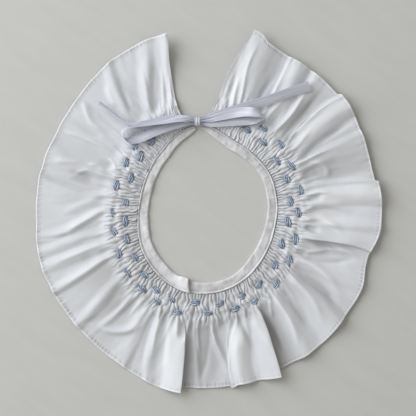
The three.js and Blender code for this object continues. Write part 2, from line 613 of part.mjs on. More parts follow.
// A ribbon: a flat strip that follows its rows, turning on its middle line as they tilt.
const stationsPerRow = 3;
function ribbonGeometry(rows) {
  const up = new THREE.Vector3(0, 0, 1);
  const middle = rows.map((row) => new THREE.Vector3(neckCentre.x + row.x, neckCentre.y + row.y, row.z));
  const curve = new THREE.CatmullRomCurve3(middle, false, "centripetal");
  const steps = (rows.length - 1) * stationsPerRow;
  const numbered = rows.map((row, number) => ({ ...row, number }));
  const rings = Array.from({ length: steps + 1 }, (_, k) => {
    const t = k / steps;
    const centre = curve.getPoint(t);
    const along = curve.getTangent(t);
    const level = up.clone().cross(along).normalize();
    const face = along.clone().cross(level).normalize();
    const tilt = tableValue(numbered, "number", "tilt", t * (rows.length - 1)) * degree;
    const spread = tableValue(numbered, "number", "spread", t * (rows.length - 1));
    const side = level.clone().multiplyScalar(Math.cos(tilt)).addScaledVector(face, Math.sin(tilt));
    const out = face.clone().multiplyScalar(Math.cos(tilt)).addScaledVector(level, -Math.sin(tilt));
    const half = (ribbonWidth * spread) / 2;
    const corners = [[-half, -1], [half, -1], [half, 1], [-half, 1]];
    return corners.map(([aside, sheetSide]) =>
      centre.clone().addScaledVector(side, aside).addScaledVector(out, (sheetSide * ribbonWall) / 2),
    );
  });
  return new Skin().through(rings);
}

const knotSides = 12;
function knotGeometry() {
  const rings = knotRings.map(({ along, across, high }) =>
    Array.from({ length: knotSides }, (_, k) => {
      const turn = (2 * Math.PI * k) / knotSides;
      const y = neckCentre.y + knot.y + across * Math.cos(turn);
      return new THREE.Vector3(neckCentre.x + knot.x + along, y, knot.z + high * Math.sin(turn));
    }),
  );
  return new Skin().through(rings);
}

// The height of the gathers' crests under a point.
function crestUnder(point) {
  const x = point.x - neckCentre.x;
  const y = point.y - neckCentre.y;
  const turned = Math.atan2(y, x) / degree;
  const angle = turned < neckline[0].angle ? turned + 360 : turned;
  return clothLevels(angle, Math.hypot(x, y) - bandEdge(angle) - seamGap, 1).top;
}

// A bar of floss, laid across the gathers it holds and just clear of their crests.
function barGeometry(bar) {
  const edge = (angle) => place(angle, bandEdge(angle) + seamGap + bar.out, 0);
  const along = edge(bar.angle + 0.5).sub(edge(bar.angle - 0.5)).normalize();
  along.applyAxisAngle(new THREE.Vector3(0, 0, 1), bar.turn * degree);
  const aside = new THREE.Vector3(along.y, -along.x, 0);
  const rings = barStations.map((station) =>
    barSection.map(({ across, rise }) => {
      const point = edge(bar.angle).addScaledVector(along, bar.length * station.along);
      point.addScaledVector(aside, stitchWidth * station.size * across);
      return point.setZ(stitchHeight * station.size * rise);
    }),
  );
  const lift = Math.max(...rings.flat().map((point) => crestUnder(point) - point.z)) + barGap;
  for (const point of rings.flat()) point.z += lift;
  return new Skin().through(rings);
}

const group = new THREE.Group();
function addMesh(name, geometry, colour, roughness) {
  const mesh = new THREE.Mesh(geometry, new THREE.MeshStandardMaterial({ color: colour, roughness, metalness: 0 }));
  mesh.name = name;
  group.add(mesh);
}

addMesh("ruffle", ruffleGeometry(), clothColour, 0.6);
addMesh("neckband", bandGeometry(), bandColour, 0.7);
addMesh("ribbon_knot", knotGeometry(), ribbonColour, 0.35);
for (const [name, rows] of Object.entries(ribbons)) addMesh(name, ribbonGeometry(rows), ribbonColour, 0.35);
const twoDigits = (number) => String(number + 1).padStart(2, "0");
innerBars.forEach((bar, i) => addMesh(`stitch_inner_${twoDigits(i)}`, barGeometry(bar), flossColour, 0.5));
outerBars.forEach((bar, i) => addMesh(`stitch_outer_${twoDigits(i)}`, barGeometry(bar), flossColour, 0.5));

export default group;
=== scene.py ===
import bpy
import bmesh
import math
import numpy as np
from mathutils import Matrix, Vector, noise


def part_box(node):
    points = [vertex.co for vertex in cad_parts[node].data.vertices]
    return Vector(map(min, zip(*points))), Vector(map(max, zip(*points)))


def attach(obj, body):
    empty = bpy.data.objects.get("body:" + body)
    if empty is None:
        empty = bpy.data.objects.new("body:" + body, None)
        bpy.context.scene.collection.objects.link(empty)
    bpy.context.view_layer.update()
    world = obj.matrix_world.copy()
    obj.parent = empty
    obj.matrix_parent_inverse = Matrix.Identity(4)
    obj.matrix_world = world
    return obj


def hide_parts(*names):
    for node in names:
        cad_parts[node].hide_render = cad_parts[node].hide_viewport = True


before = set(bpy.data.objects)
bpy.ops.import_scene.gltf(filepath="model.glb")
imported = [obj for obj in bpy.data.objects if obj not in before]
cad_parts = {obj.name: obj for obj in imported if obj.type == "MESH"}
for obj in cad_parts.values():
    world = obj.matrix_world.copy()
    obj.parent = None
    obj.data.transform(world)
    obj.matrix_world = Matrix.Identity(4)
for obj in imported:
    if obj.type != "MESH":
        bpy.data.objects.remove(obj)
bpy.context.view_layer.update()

# Sizes are in millimetres, and angles in degrees round the neck, until a mesh is made.
mm = 0.001
degree = math.pi / 180
neckCentre = (0.56, 1.89)
seamGap = 0.3


def linear(hexColour):
    parts = [int(hexColour[i:i + 2], 16) / 255 for i in (1, 3, 5)]
    return [c / 12.92 if c <= 0.04045 else ((c + 0.055) / 1.055) ** 2.4 for c in parts] + [1]


def addNode(material, kind, settings=None, links=None):
    made = material.node_tree.nodes.new(kind)
    for key, value in (settings or {}).items():
        if hasattr(made, key):
            setattr(made, key, value)
        else:
            made.inputs[key].default_value = value
    for key, source in (links or {}).items():
        material.node_tree.links.new(source, made.inputs[key])
    return made


def newMaterial(name, settings):
    material = bpy.data.materials.new(name)
    material.use_nodes = True
    shader = material.node_tree.nodes["Principled BSDF"]
    for key, value in settings.items():
        shader.inputs[key].default_value = value
    return material, shader


def toned(material, source, *stops):
    ramp = addNode(material, "ShaderNodeValToRGB", {}, {"Fac": source})
    elements = ramp.color_ramp.elements
    while len(elements) < len(stops):
        elements.new(1)
    for element, (place, colour) in zip(elements, stops):
        element.position, element.color = place, linear(colour)
    return ramp.outputs["Color"]


def attributeOf(material, name):
    return addNode(material, "ShaderNodeAttribute", {"attribute_name": name}).outputs["Fac"]


def clothPlace(material):
    return addNode(material, "ShaderNodeUVMap", {"uv_map": "cloth"}).outputs["UV"]


def solidPlace(material):
    return addNode(material, "ShaderNodeTexCoord").outputs["Object"]


def scaled(material, place, scale, turn=0):
    settings = {"Scale": scale, "Rotation": (0, 0, turn)}
    return addNode(material, "ShaderNodeMapping", settings, {"Vector": place}).outputs["Vector"]


def noiseAt(material, place, scale, detail, roughness=0.5):
    settings = {"Scale": scale, "Detail": detail, "Roughness": roughness}
    return addNode(material, "ShaderNodeTexNoise", settings, {"Vector": place}).outputs["Fac"]


def maths(material, operation, *terms):
    made = addNode(material, "ShaderNodeMath", {"operation": operation})
    for spot, term in zip(made.inputs, terms):
        if isinstance(term, (int, float)):
            spot.default_value = term
        else:
            material.node_tree.links.new(term, spot)
    return made.outputs[0]


# threads: noise drawn out one way, and the same drawn out across it
def woven(material, place, fine, drawn):
    warp = scaled(material, place, (fine, drawn, 1))
    weft = scaled(material, place, (drawn, fine, 1))
    return maths(material, "ADD", noiseAt(material, warp, 1, 1), noiseAt(material, weft, 1, 1))


def finished(material, shader, colour, relief, strength, distance):
    settings = {"Strength": strength, "Distance": distance}
    bump = addNode(material, "ShaderNodeBump", settings, {"Height": relief})
    material.node_tree.links.new(colour, shader.inputs["Base Color"])
    material.node_tree.links.new(bump.outputs["Normal"], shader.inputs["Normal"])
    return material


def smoothStep(low, high, x):
    t = np.clip((x - low) / (high - low), 0, 1)
    return t * t * (3 - 2 * t)


# a smooth curve through a table's rows that never overshoots them
def tableValue(places, values, x):
    places, values, x = (np.asarray(a, float) for a in (places, values, x))
    span = np.diff(places)
    rate = np.diff(values) / span
    both = rate[:-1] * rate[1:]
    total = np.where(both > 0, rate[:-1] + rate[1:], 1)
    slope = np.concatenate([[0], np.where(both > 0, 2 * both / total, 0), [0]])
    x = np.clip(x, places[0], places[-1])
    i = np.clip(np.searchsorted(places, x, side="right") - 1, 0, len(span) - 1)
    t = (x - places[i]) / span[i]
    t2, t3 = t * t, t ** 3
    return (values[i] * (2 * t3 - 3 * t2 + 1) + slope[i] * span[i] * (t3 - 2 * t2 + t)
            + values[i + 1] * (3 * t2 - 2 * t3) + slope[i + 1] * span[i] * (t3 - t2))


# the same for one column of rows that each start with their place
def rowValue(rows, column, x):
    rows = np.array(rows, float)
    return tableValue(rows[:, 0], rows[:, column], x)


# even, repeatable scatter from 0 to 1
def scatter(number, salt):
    return np.modf(np.abs(np.sin(number * 12.9898 + salt * 78.233) * 43758.5453))[0]


# slow, smooth unevenness from -1 to 1
def wobble(x, y, salt):
    x, y = np.broadcast_arrays(x, y)
    turned = np.stack([0.8 * x + 0.6 * y, 0.8 * y - 0.6 * x, salt + 0.45 * x + 0.35 * y], axis=-1)
    return np.array([noise.noise(place) for place in turned.reshape(-1, 3)]).reshape(x.shape)


# a rounded path through points, passing each of them, with its turns no sharper than they need be
def smoothPath(points, steps):
    points = np.asarray(points, float)
    points = np.vstack([2 * points[0] - points[1], points, 2 * points[-1] - points[-2]])
    made = []
    for k in range(1, len(points) - 2):
        p0, p1, p2, p3 = points[k - 1:k + 3]
        gaps = [max(np.linalg.norm(b - a) ** 0.5, 1e-4) for a, b in ((p0, p1), (p1, p2), (p2, p3))]
        out = ((p1 - p0) / gaps[0] - (p2 - p0) / (gaps[0] + gaps[1]) + (p2 - p1) / gaps[1]) * gaps[1]
        back = ((p2 - p1) / gaps[1] - (p3 - p1) / (gaps[1] + gaps[2]) + (p3 - p2) / gaps[2]) * gaps[1]
        last = k == len(points) - 3
        t = np.linspace(0, 1, steps + 1)[:None if last else -1, None]
        made.append(p1 + out * t + (3 * (p2 - p1) - 2 * out - back) * t ** 2
                    + (2 * (p1 - p2) + out + back) * t ** 3)
    return np.vstack(made)


def polar(angle, radius):
    return np.stack([radius * np.cos(angle * degree), radius * np.sin(angle * degree)], axis=-1)


def deselectAll():
    if bpy.context.object and bpy.context.object.mode == "EDIT":
        bpy.ops.object.mode_set(mode="OBJECT")
    for thing in bpy.context.selected_objects:
        thing.select_set(False)


def selectOnly(piece):
    deselectAll()
    piece.select_set(True)
    bpy.context.view_layer.objects.active = piece


# a piece from its points, its faces and each point's place on the flat cloth
def newPiece(name, points, faces, cloth):
    mesh = bpy.data.meshes.new(name)
    mesh.from_pydata([tuple(p) for p in points * mm], [], faces)
    corners = np.empty(len(mesh.loops), int)
    mesh.loops.foreach_get("vertex_index", corners)
    mesh.uv_layers.new(name="cloth").data.foreach_set("uv", (cloth * mm)[corners].ravel())
    mesh.update()
    piece = bpy.data.objects.new(name, mesh)
    bpy.context.collection.objects.link(piece)
    return piece


def storeOnPoints(piece, name, values):
    layer = piece.data.attributes.new(name, "FLOAT", "POINT")
    layer.data.foreach_set("value", np.asarray(values, np.float32))


def finishPiece(piece, material, nodeName, crease=60):
    piece.data.materials.append(material)
    piece.data.shade_smooth()
    piece.data.set_sharp_from_angle(angle=crease * degree)
    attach(piece, "root")
    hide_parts(nodeName)


# a closed skin through rings of as many points, capped at both ends
def throughRings(name, rings, cloth):
    count, sides = len(rings), len(rings[0])
    faces = [tuple(reversed(range(sides))), tuple((count - 1) * sides + i for i in range(sides))]
    for k in range(count - 1):
        for i in range(sides):
            j = (i + 1) % sides
            faces.append((k * sides + i, k * sides + j, (k + 1) * sides + j, (k + 1) * sides + i))
    piece = newPiece(name, np.concatenate(rings), faces, np.concatenate(cloth))
    shape = bmesh.new()
    shape.from_mesh(piece.data)
    bmesh.ops.recalc_face_normals(shape, faces=shape.faces)
    shape.to_mesh(piece.data)
    shape.free()
    return piece


setting = {
    "tableSize": 6, "tableLight": "#C8C9C7", "tableDark": "#C4C5C2", "grainTurn": 35,
    "cameraHeight": 0.9, "sensorWidth": 36, "frameWidth": 0.2912, "frameCentre": (-0.00014, 0.00189),
    "keyFrom": (-1.2, 0.62, 0.95), "keyPower": 29.5, "keySize": 1.6, "keyColour": (0.94, 0.97, 1),
    "roomColour": "#FFFAF2", "roomStrength": 0.44,
}


# a smooth painted board: flat, with a faint lengthwise grain under the paint
def paintedTable():
    material, shader = newMaterial("paintedTable", {"Roughness": 0.75, "Specular IOR Level": 0.2})
    turned = scaled(material, solidPlace(material), (1, 1, 1), setting["grainTurn"] * degree)
    grain = noiseAt(material, scaled(material, turned, (25, 110, 1)), 1, 4)
    colour = toned(material, grain, (0.3, setting["tableDark"]), (0.7, setting["tableLight"]))
    material.node_tree.links.new(colour, shader.inputs["Base Color"])
    return material


def makeSetting():
    view = bpy.data.cameras.new("camera")
    view.sensor_width = setting["sensorWidth"]
    view.lens = setting["sensorWidth"] * setting["cameraHeight"] / setting["frameWidth"]
    camera = bpy.data.objects.new("camera", view)
    camera.location = (*setting["frameCentre"], setting["cameraHeight"])
    bpy.context.collection.objects.link(camera)
    bpy.context.scene.camera = camera
    bpy.context.scene.view_settings.view_transform = "Standard"

    deselectAll()
    bpy.ops.mesh.primitive_plane_add(size=setting["tableSize"], location=(0, 0, 0))
    floor = bpy.context.object
    floor.name = "table"
    floor.data.materials.append(paintedTable())

    lamp = bpy.data.lights.new("window", "AREA")
    lamp.shape, lamp.size, lamp.energy = "SQUARE", setting["keySize"], setting["keyPower"]
    lamp.color = setting["keyColour"]
    window = bpy.data.objects.new("window", lamp)
    window.location = setting["keyFrom"]
    window.rotation_euler = (-Vector(setting["keyFrom"])).to_track_quat("-Z", "Y").to_euler()
    bpy.context.collection.objects.link(window)
    world = bpy.data.worlds.new("room")
    world.use_nodes = True
    room = world.node_tree.nodes["Background"].inputs
    room["Color"].default_value = linear(setting["roomColour"])
    room["Strength"].default_value = setting["roomStrength"]
    bpy.context.scene.world = world


# The ribbon: each row is a place on its middle line, how far the ribbon is tilted there, and how much
# of its width is spread out; the rest is gathered into the knot.
ribbon = {
    "width": 7, "thickness": 0.3, "crown": 0.35, "points": 9, "stepsPerRow": 10, "gatherRise": 1.1,
    "gatherMost": 0.6, "curlRise": 2.1, "curledFrom": {"ribbon_tail_left": 4.5},
    "rows": {
        "ribbon_tail_left": [
            (-10.6, 61.7, 3.6, 0, 0.4), (-16, 62, 4.4, 0, 0.7), (-24, 61.4, 4.9, 0, 0.95),
            (-35, 59.6, 5.3, -2, 1), (-45, 57.7, 5.9, -6, 0.9), (-53.6, 57.8, 6.3, -14, 0.5),
            (-60.4, 61, 6.6, -18, 0.36), (-67, 66, 6.4, -18, 0.34), (-76.3, 73.1, 5.8, -16, 0.38)],
        "ribbon_tail_right": [
            (-5.5, 61.7, 3.6, 0, 0.4), (0, 62.6, 4.3, 0, 0.75), (6, 64.4, 4.6, 2, 1),
            (14.7, 67, 5.1, 8, 1), (25.2, 70.2, 5.8, 14, 1), (35.7, 73.2, 6.4, 20, 1),
            (46.2, 76.8, 8.2, 24, 1), (57.4, 80.7, 8.6, 22, 1), (69.8, 84.8, 8.4, 14, 1)],
        "ribbon_loop_left": [
            (-10.6, 59.3, 5.2, 0, 0.45), (-16.1, 59.5, 6, 6, 0.75), (-22.5, 58.5, 6.6, 10, 1),
            (-31, 55.7, 7.2, 14, 1), (-41.3, 51.6, 7.4, 18, 1), (-49.7, 48, 7.4, 26, 1),
            (-56.2, 47.2, 7.6, 60, 1), (-59.8, 49.4, 8.2, 98, 1), (-60, 52.5, 8.8, 114, 1),
            (-56.8, 55.4, 9.2, 110, 1), (-49.7, 56.6, 9.5, 100, 1), (-41.3, 57.6, 9.6, 101, 1),
            (-31, 59.4, 9.4, 113, 1), (-22, 61.6, 9, 134, 0.9), (-15.2, 62.1, 8.2, 160, 0.7),
            (-10.6, 61, 7, 180, 0.45)],
        "ribbon_loop_right": [
            (-5.5, 59.2, 5.2, 0, 0.45), (0.4, 59.2, 5.8, -4, 0.8), (8, 60, 6, -6, 1),
            (17, 60.5, 6.2, -8, 1), (26, 61, 6.5, -14, 1), (33, 61.6, 7.2, -36, 1),
            (37.2, 63, 8.8, -76, 0.95), (35.8, 65, 11.2, -128, 0.95), (30.8, 66.1, 12.4, -156, 1),
            (24.4, 66.6, 9.8, -164, 1), (17, 65.8, 8.2, -170, 1), (5, 63.2, 7.9, -174, 0.85),
            (-1, 61.8, 7.3, -176, 0.65), (-5.5, 61, 7, -180, 0.45)],
    },
}


def ribbonStrip(name):
    rows = np.array(ribbon["rows"][name], float)
    rows[:, 0] += neckCentre[0]
    rows[:, 1] += neckCentre[1]
    path = smoothPath(rows[:, :3], ribbon["stepsPerRow"])
    number = np.linspace(0, len(rows) - 1, len(path))
    tilt = tableValue(range(len(rows)), rows[:, 3], number) * degree
    spread = tableValue(range(len(rows)), rows[:, 4], number)
    along = np.gradient(path, axis=0)
    along /= np.linalg.norm(along, axis=1)[:, None]
    level = np.cross((0, 0, 1), along)
    level /= np.linalg.norm(level, axis=1)[:, None]
    face = np.cross(along, level)
    side = level * np.cos(tilt)[:, None] + face * np.sin(tilt)[:, None]
    out = face * np.cos(tilt)[:, None] - level * np.sin(tilt)[:, None]
    across = np.linspace(-1, 1, ribbon["points"])
    walked = np.concatenate([[0], np.cumsum(np.linalg.norm(np.diff(path, axis=0), axis=1))])
    curledFrom = ribbon["curledFrom"].get(name, len(rows) + 1)
    curled = smoothStep(curledFrom - 1, curledFrom, number)
    rings, cloth = [], []
    for k, centre in enumerate(path):
        packed = (1 - spread[k]) / ribbon["gatherMost"]
        lift = ribbon["crown"] * (1 - across ** 2) * spread[k]
        gathered = ribbon["gatherRise"] * np.cos(across * 2.5 * math.pi) * (1 - 0.3 * across ** 2)
        rolled = ribbon["curlRise"] * (1 - across ** 2) * curled[k]
        lift = lift + packed * (gathered * (1 - curled[k]) + rolled)
        sheet = centre + np.outer(across * ribbon["width"] * spread[k] / 2, side[k])
        over = sheet + np.outer(lift + ribbon["thickness"] / 2, out[k])
        under = sheet + np.outer(lift - ribbon["thickness"] / 2, out[k])
        rings.append(np.vstack([over, under[::-1]]))
        places = np.stack([np.full_like(across, walked[k]), across * ribbon["width"] / 2], axis=-1)
        cloth.append(np.vstack([places, places[::-1]]))
    return throughRings(name.replace("ribbon_", "satin_"), rings, cloth), path * mm, walked[-1] * mm


def makeTails(material):
    for name in ("ribbon_tail_left", "ribbon_tail_right"):
        piece, path, length = ribbonStrip(name)
        finishPiece(piece, material, name)
        print(name, "is", round(float(length) * 1000), "mm long")


def makeLoops(material):
    for name in ("ribbon_loop_left", "ribbon_loop_right"):
        finishPiece(ribbonStrip(name)[0], material, name)
    print("bow loops made")


# The knot, wrapped round the ribbons: (along it, half its width, half its height, sideways) for each ring.
knot = {
    "centre": (-8.05, 60.2, 5.5), "sides": 20, "meanRadius": 3,
    "rings": [(-2.1, 1.5, 1.3, 0), (-2, 2.6, 2.2, 0.1), (-1.7, 3.1, 2.7, 0.1), (-1.3, 3.25, 2.8, 0),
              (-0.95, 2.9, 2.2, 0), (-0.7, 3.1, 2.5, -0.1), (-0.2, 3.3, 2.7, -0.1), (0.2, 3.1, 2.4, 0),
              (0.5, 2.8, 2, 0), (0.85, 3.1, 2.5, 0.1), (1.3, 3.3, 2.8, 0.1), (1.7, 3, 2.5, 0.1),
              (2, 2.5, 1.9, 0), (2.1, 1.5, 1.2, 0)],
}


# draws a shape out of a circle by hand: each ring is (along x, half width in y, half height in z,
# shift in y, turn in degrees)
def drawnOut(name, sides, rings):
    deselectAll()
    first = rings[0]
    bpy.ops.mesh.primitive_circle_add(vertices=sides, radius=mm, fill_type="NGON",
                                      location=(0, 0, 0), rotation=(0, math.pi / 2, 0))
    piece = bpy.context.object
    piece.name = piece.data.name = name
    bpy.ops.object.transform_apply(location=True, rotation=True, scale=True)
    bpy.ops.object.mode_set(mode="EDIT")
    bpy.ops.mesh.select_all(action="SELECT")
    bpy.ops.transform.resize(value=(1, first[1], first[2]), center_override=(0, 0, 0))
    bpy.ops.transform.translate(value=(first[0] * mm, first[3] * mm, 0))
    before = first
    for ring in rings[1:]:
        step = ((ring[0] - before[0]) * mm, (ring[3] - before[3]) * mm, 0)
        bpy.ops.mesh.extrude_region_move(TRANSFORM_OT_translate={"value": step})
        middle = (ring[0] * mm, ring[3] * mm, 0)
        bpy.ops.transform.resize(value=(1, ring[1] / before[1], ring[2] / before[2]), center_override=middle)
        if ring[4] != before[4]:
            bpy.ops.transform.rotate(value=(ring[4] - before[4]) * degree, orient_axis="X",
                                     center_override=middle)
        before = ring
    bpy.ops.mesh.select_all(action="SELECT")
    bpy.ops.mesh.normals_make_consistent(inside=False)
    bpy.ops.object.mode_set(mode="OBJECT")
    return piece


def makeKnot(material):
    piece = drawnOut("satin_knot", knot["sides"], [(*ring, 0) for ring in knot["rings"]])
    x, y, z = knot["centre"]
    piece.data.transform(Matrix.Translation(Vector((x + neckCentre[0], y + neckCentre[1], z)) * mm))
    layer = piece.data.uv_layers.new(name="cloth")
    for loop in piece.data.loops:
        spot = piece.data.vertices[loop.vertex_index].co / mm
        turn = math.atan2(spot.z - z, spot.y - y - neckCentre[1])
        layer.data[loop.index].uv = (turn * knot["meanRadius"] * mm, (spot.x - x - neckCentre[0]) * mm)
    soft = piece.modifiers.new("soft", "SUBSURF")
    soft.levels = soft.render_levels = 1
    selectOnly(piece)
    bpy.ops.object.modifier_apply(modifier=soft.name)
    finishPiece(piece, material, "ribbon_knot")
    print("knot made")


neckband = {
    "height": 2.5, "steps": 520, "meanRadius": 50, "clothWidth": 8, "waver": 0.22,
    # angle, inner edge, outer edge
    "edges": [(99.8, 55.4, 57.6), (101.6, 54.1, 58.1), (103.5, 53, 58.2), (115, 49.5, 56.2),
              (130, 45, 52.5), (150, 42.6, 50), (170, 41.7, 49), (190, 43, 51.1), (210, 46.5, 55.3),
              (230, 49.4, 58.8), (250, 52.4, 61), (270, 52.2, 60.2), (290, 49.6, 57.4), (310, 44.8, 53.5),
              (330, 42, 50), (350, 41, 48.3), (370, 41.3, 48.3), (390, 42.3, 49), (410, 42.3, 49),
              (430, 43.4, 50.6), (440, 46, 53.6), (450, 52, 57.6), (455.6, 55.4, 57.8)],
    # its section: share of the width from the inner edge, share of the height
    "section": [(0.05, 0.02), (0, 0.12), (-0.01, 0.4), (0, 0.64), (0.05, 0.84), (0.12, 0.93),
                (0.24, 0.91), (0.4, 0.84), (0.56, 0.8), (0.68, 0.76), (0.74, 0.66), (0.775, 0.56),
                (0.8, 0.74), (0.84, 1.04), (0.9, 1.16), (0.95, 1.06), (0.985, 0.8), (1, 0.4), (0.98, 0.02)],
    "lapFrom": 241.5, "lapFull": 250.5, "lapTo": 253.6, "climbSlant": 4, "lapSlant": 3.2, "lapEdge": 0.7,
    "lapRise": 2.3, "lapReach": 1.2, "besideLap": 7, "besideSink": 0.7, "lapLight": 0.32, "besideShade": 0.32,
    "gathered": 5.5, "gatherRise": 0.45,
}


def bandEdge(angle):
    return rowValue(neckband["edges"], 2, angle)


def makeNeckband(material):
    first, last = neckband["edges"][0][0], neckband["edges"][-1][0]
    angles = np.linspace(first, last, neckband["steps"] + 1)
    inner, outer = rowValue(neckband["edges"], 1, angles), bandEdge(angles)
    across, rise = np.array(neckband["section"]).T
    rings, cloth, paintedShadingRows = [], [], []
    walked = 0
    for k, angle in enumerate(angles):
        slant = neckband["climbSlant"] * across
        climb = smoothStep(neckband["lapFrom"] + slant, neckband["lapFull"] + slant, angle)
        lapTo = neckband["lapTo"] + neckband["lapSlant"] * across
        drop = 1 - smoothStep(lapTo, lapTo + neckband["lapEdge"], angle)
        beside = (1 - drop) * (1 - smoothStep(0, neckband["besideLap"], angle - lapTo))
        lap = neckband["lapRise"] * climb * drop * np.minimum(1, rise * 2) - neckband["besideSink"] * beside
        # painted light on the lapped end and painted shade on the band beside it
        paintedShadingRows.append(neckband["lapLight"] * climb * drop - neckband["besideShade"] * beside)
        arc = angle * degree * neckband["meanRadius"]
        soft = 0.9 * wobble(arc * 0.12, across * 1.8, 11) + 0.45 * wobble(arc * 0.33, across * 3, 12)
        bunch = 1 - smoothStep(0, neckband["gathered"], min(angle - first, last - angle))
        bunch = neckband["gatherRise"] * bunch * math.sin(arc * 0.3)
        bunch = bunch * np.cos(across * 4 * math.pi + arc * 0.8)
        height = neckband["height"] * rise + (lap + soft + bunch) * np.minimum(1, rise * 1.6)
        radius = inner[k] + (outer[k] - inner[k]) * across + neckband["waver"] * wobble(arc * 0.12, 0, 13)
        radius -= neckband["lapReach"] * (climb * drop) ** 2 * (1 - smoothStep(0, 0.5, across))
        spot = polar(angle, radius) + neckCentre
        rings.append(np.column_stack([spot, np.maximum(height, 0.02)]))
        cloth.append(np.column_stack([np.full_like(across, walked), across * neckband["clothWidth"]]))
        walked += degree * neckband["meanRadius"] * (angles[1] - angles[0])
    piece = throughRings("boundNeckband", rings, cloth)
    storeOnPoints(piece, "paintedShading", np.concatenate(paintedShadingRows))
    finishPiece(piece, material, "neckband")
    print("neckband made")


ruffle = {
    "first": 103.5, "last": 452,
    "smockWidth": 19, "smockHeight": 3.3, "heightAtBand": 2.4,
    "pleats": 160, "columnsPerPleat": 6, "pleatRise": 1.5, "wander": 0.26,
    "firstRow": -0.2, "smockStep": 1.17, "smockRows": 20, "columns": 720, "rows": 27,
    "hemRows": (3.7, 3.1, 2.2, 1.3, 0.9, 0.5, 0.15, 0), "hemColumns": 1000,
    "hemWidth": 3.2, "hemRise": 0.12, "rimRise": 0.42, "puckerRise": 0.14, "puckerPitch": 3.5,
    "endHem": 3.4, "endHemRise": 0.3,
    "thickness": 0.34, "usualDepth": 68, "meanRadius": 100, "clothLength": 900,
    "foldRise": 0.62, "lappedRise": 0.85, "usualFold": 7, "lapLean": 3.4, "lapTail": 9,
    "lapShade": 0.28, "lapShadeReach": 16,
    # angle, how deeply the cloth is folded there, and how far its hem is held off the table
    "relief": [(103.5, 0.85, 6.6), (112, 0.72, 1.4), (130, 0.76, 0), (150, 0.76, 0), (180, 0.66, 0),
               (230, 0.6, 0), (250, 0.78, 0), (262, 0.95, 1), (300, 1, 1.4), (320, 1, 2.4), (345, 1, 3.4),
               (366, 1, 3.8), (400, 1, 3.8), (420, 0.95, 3.4), (436, 0.9, 4)],
    # angle, and how much painted highlight the turned rim gets there
    "rimLight": [(103.5, 0.3), (256, 0.3), (268, 0.16), (290, 0.1), (345, 0.1), (362, 0.2), (436, 0.26)],
    # share of the depth, slanted angle of the left back end, and of the right
    "ends": [(0, 103.5, 452), (0.12, 106.4, 449.5), (0.25, 107.3, 446.2), (0.45, 106.4, 443.4),
             (0.7, 105.2, 440), (1, 103.5, 435.8)],
    "leftReach": 9, "rightReach": 34,
    # angle and radius of the hem
    "hem": [(103.5, 124.6), (109.7, 125.4), (117.3, 124.7), (125.7, 123.3), (131.8, 121.9), (138.8, 120.3),
            (148.3, 119.5), (154.2, 119.4), (163.5, 120.4), (172, 120.9), (178, 121), (184.4, 121.6),
            (193, 123.5), (199, 124.5), (206.7, 124.2), (214.8, 123.9), (221.7, 124.4), (226.1, 124.2),
            (233.6, 124.9), (241.7, 126.5), (248.6, 128.6), (255.8, 130.4), (260.6, 129.8), (261.6, 126.8),
            (272, 125.6), (276.4, 125), (277.4, 126.8), (280, 125), (286, 125.6), (292.4, 128.1),
            (293.6, 123), (305, 123.6), (320, 121.8), (332, 120.8), (343, 116.2), (352, 120.4),
            (360, 120.6), (368.8, 119.2), (369.8, 117.1), (385, 118.7), (400.6, 121.6), (401.8, 119.7),
            (412, 119.7), (421.4, 119.2), (422.4, 119.4), (430, 122.5), (433, 126.4), (436, 127.8)],
}

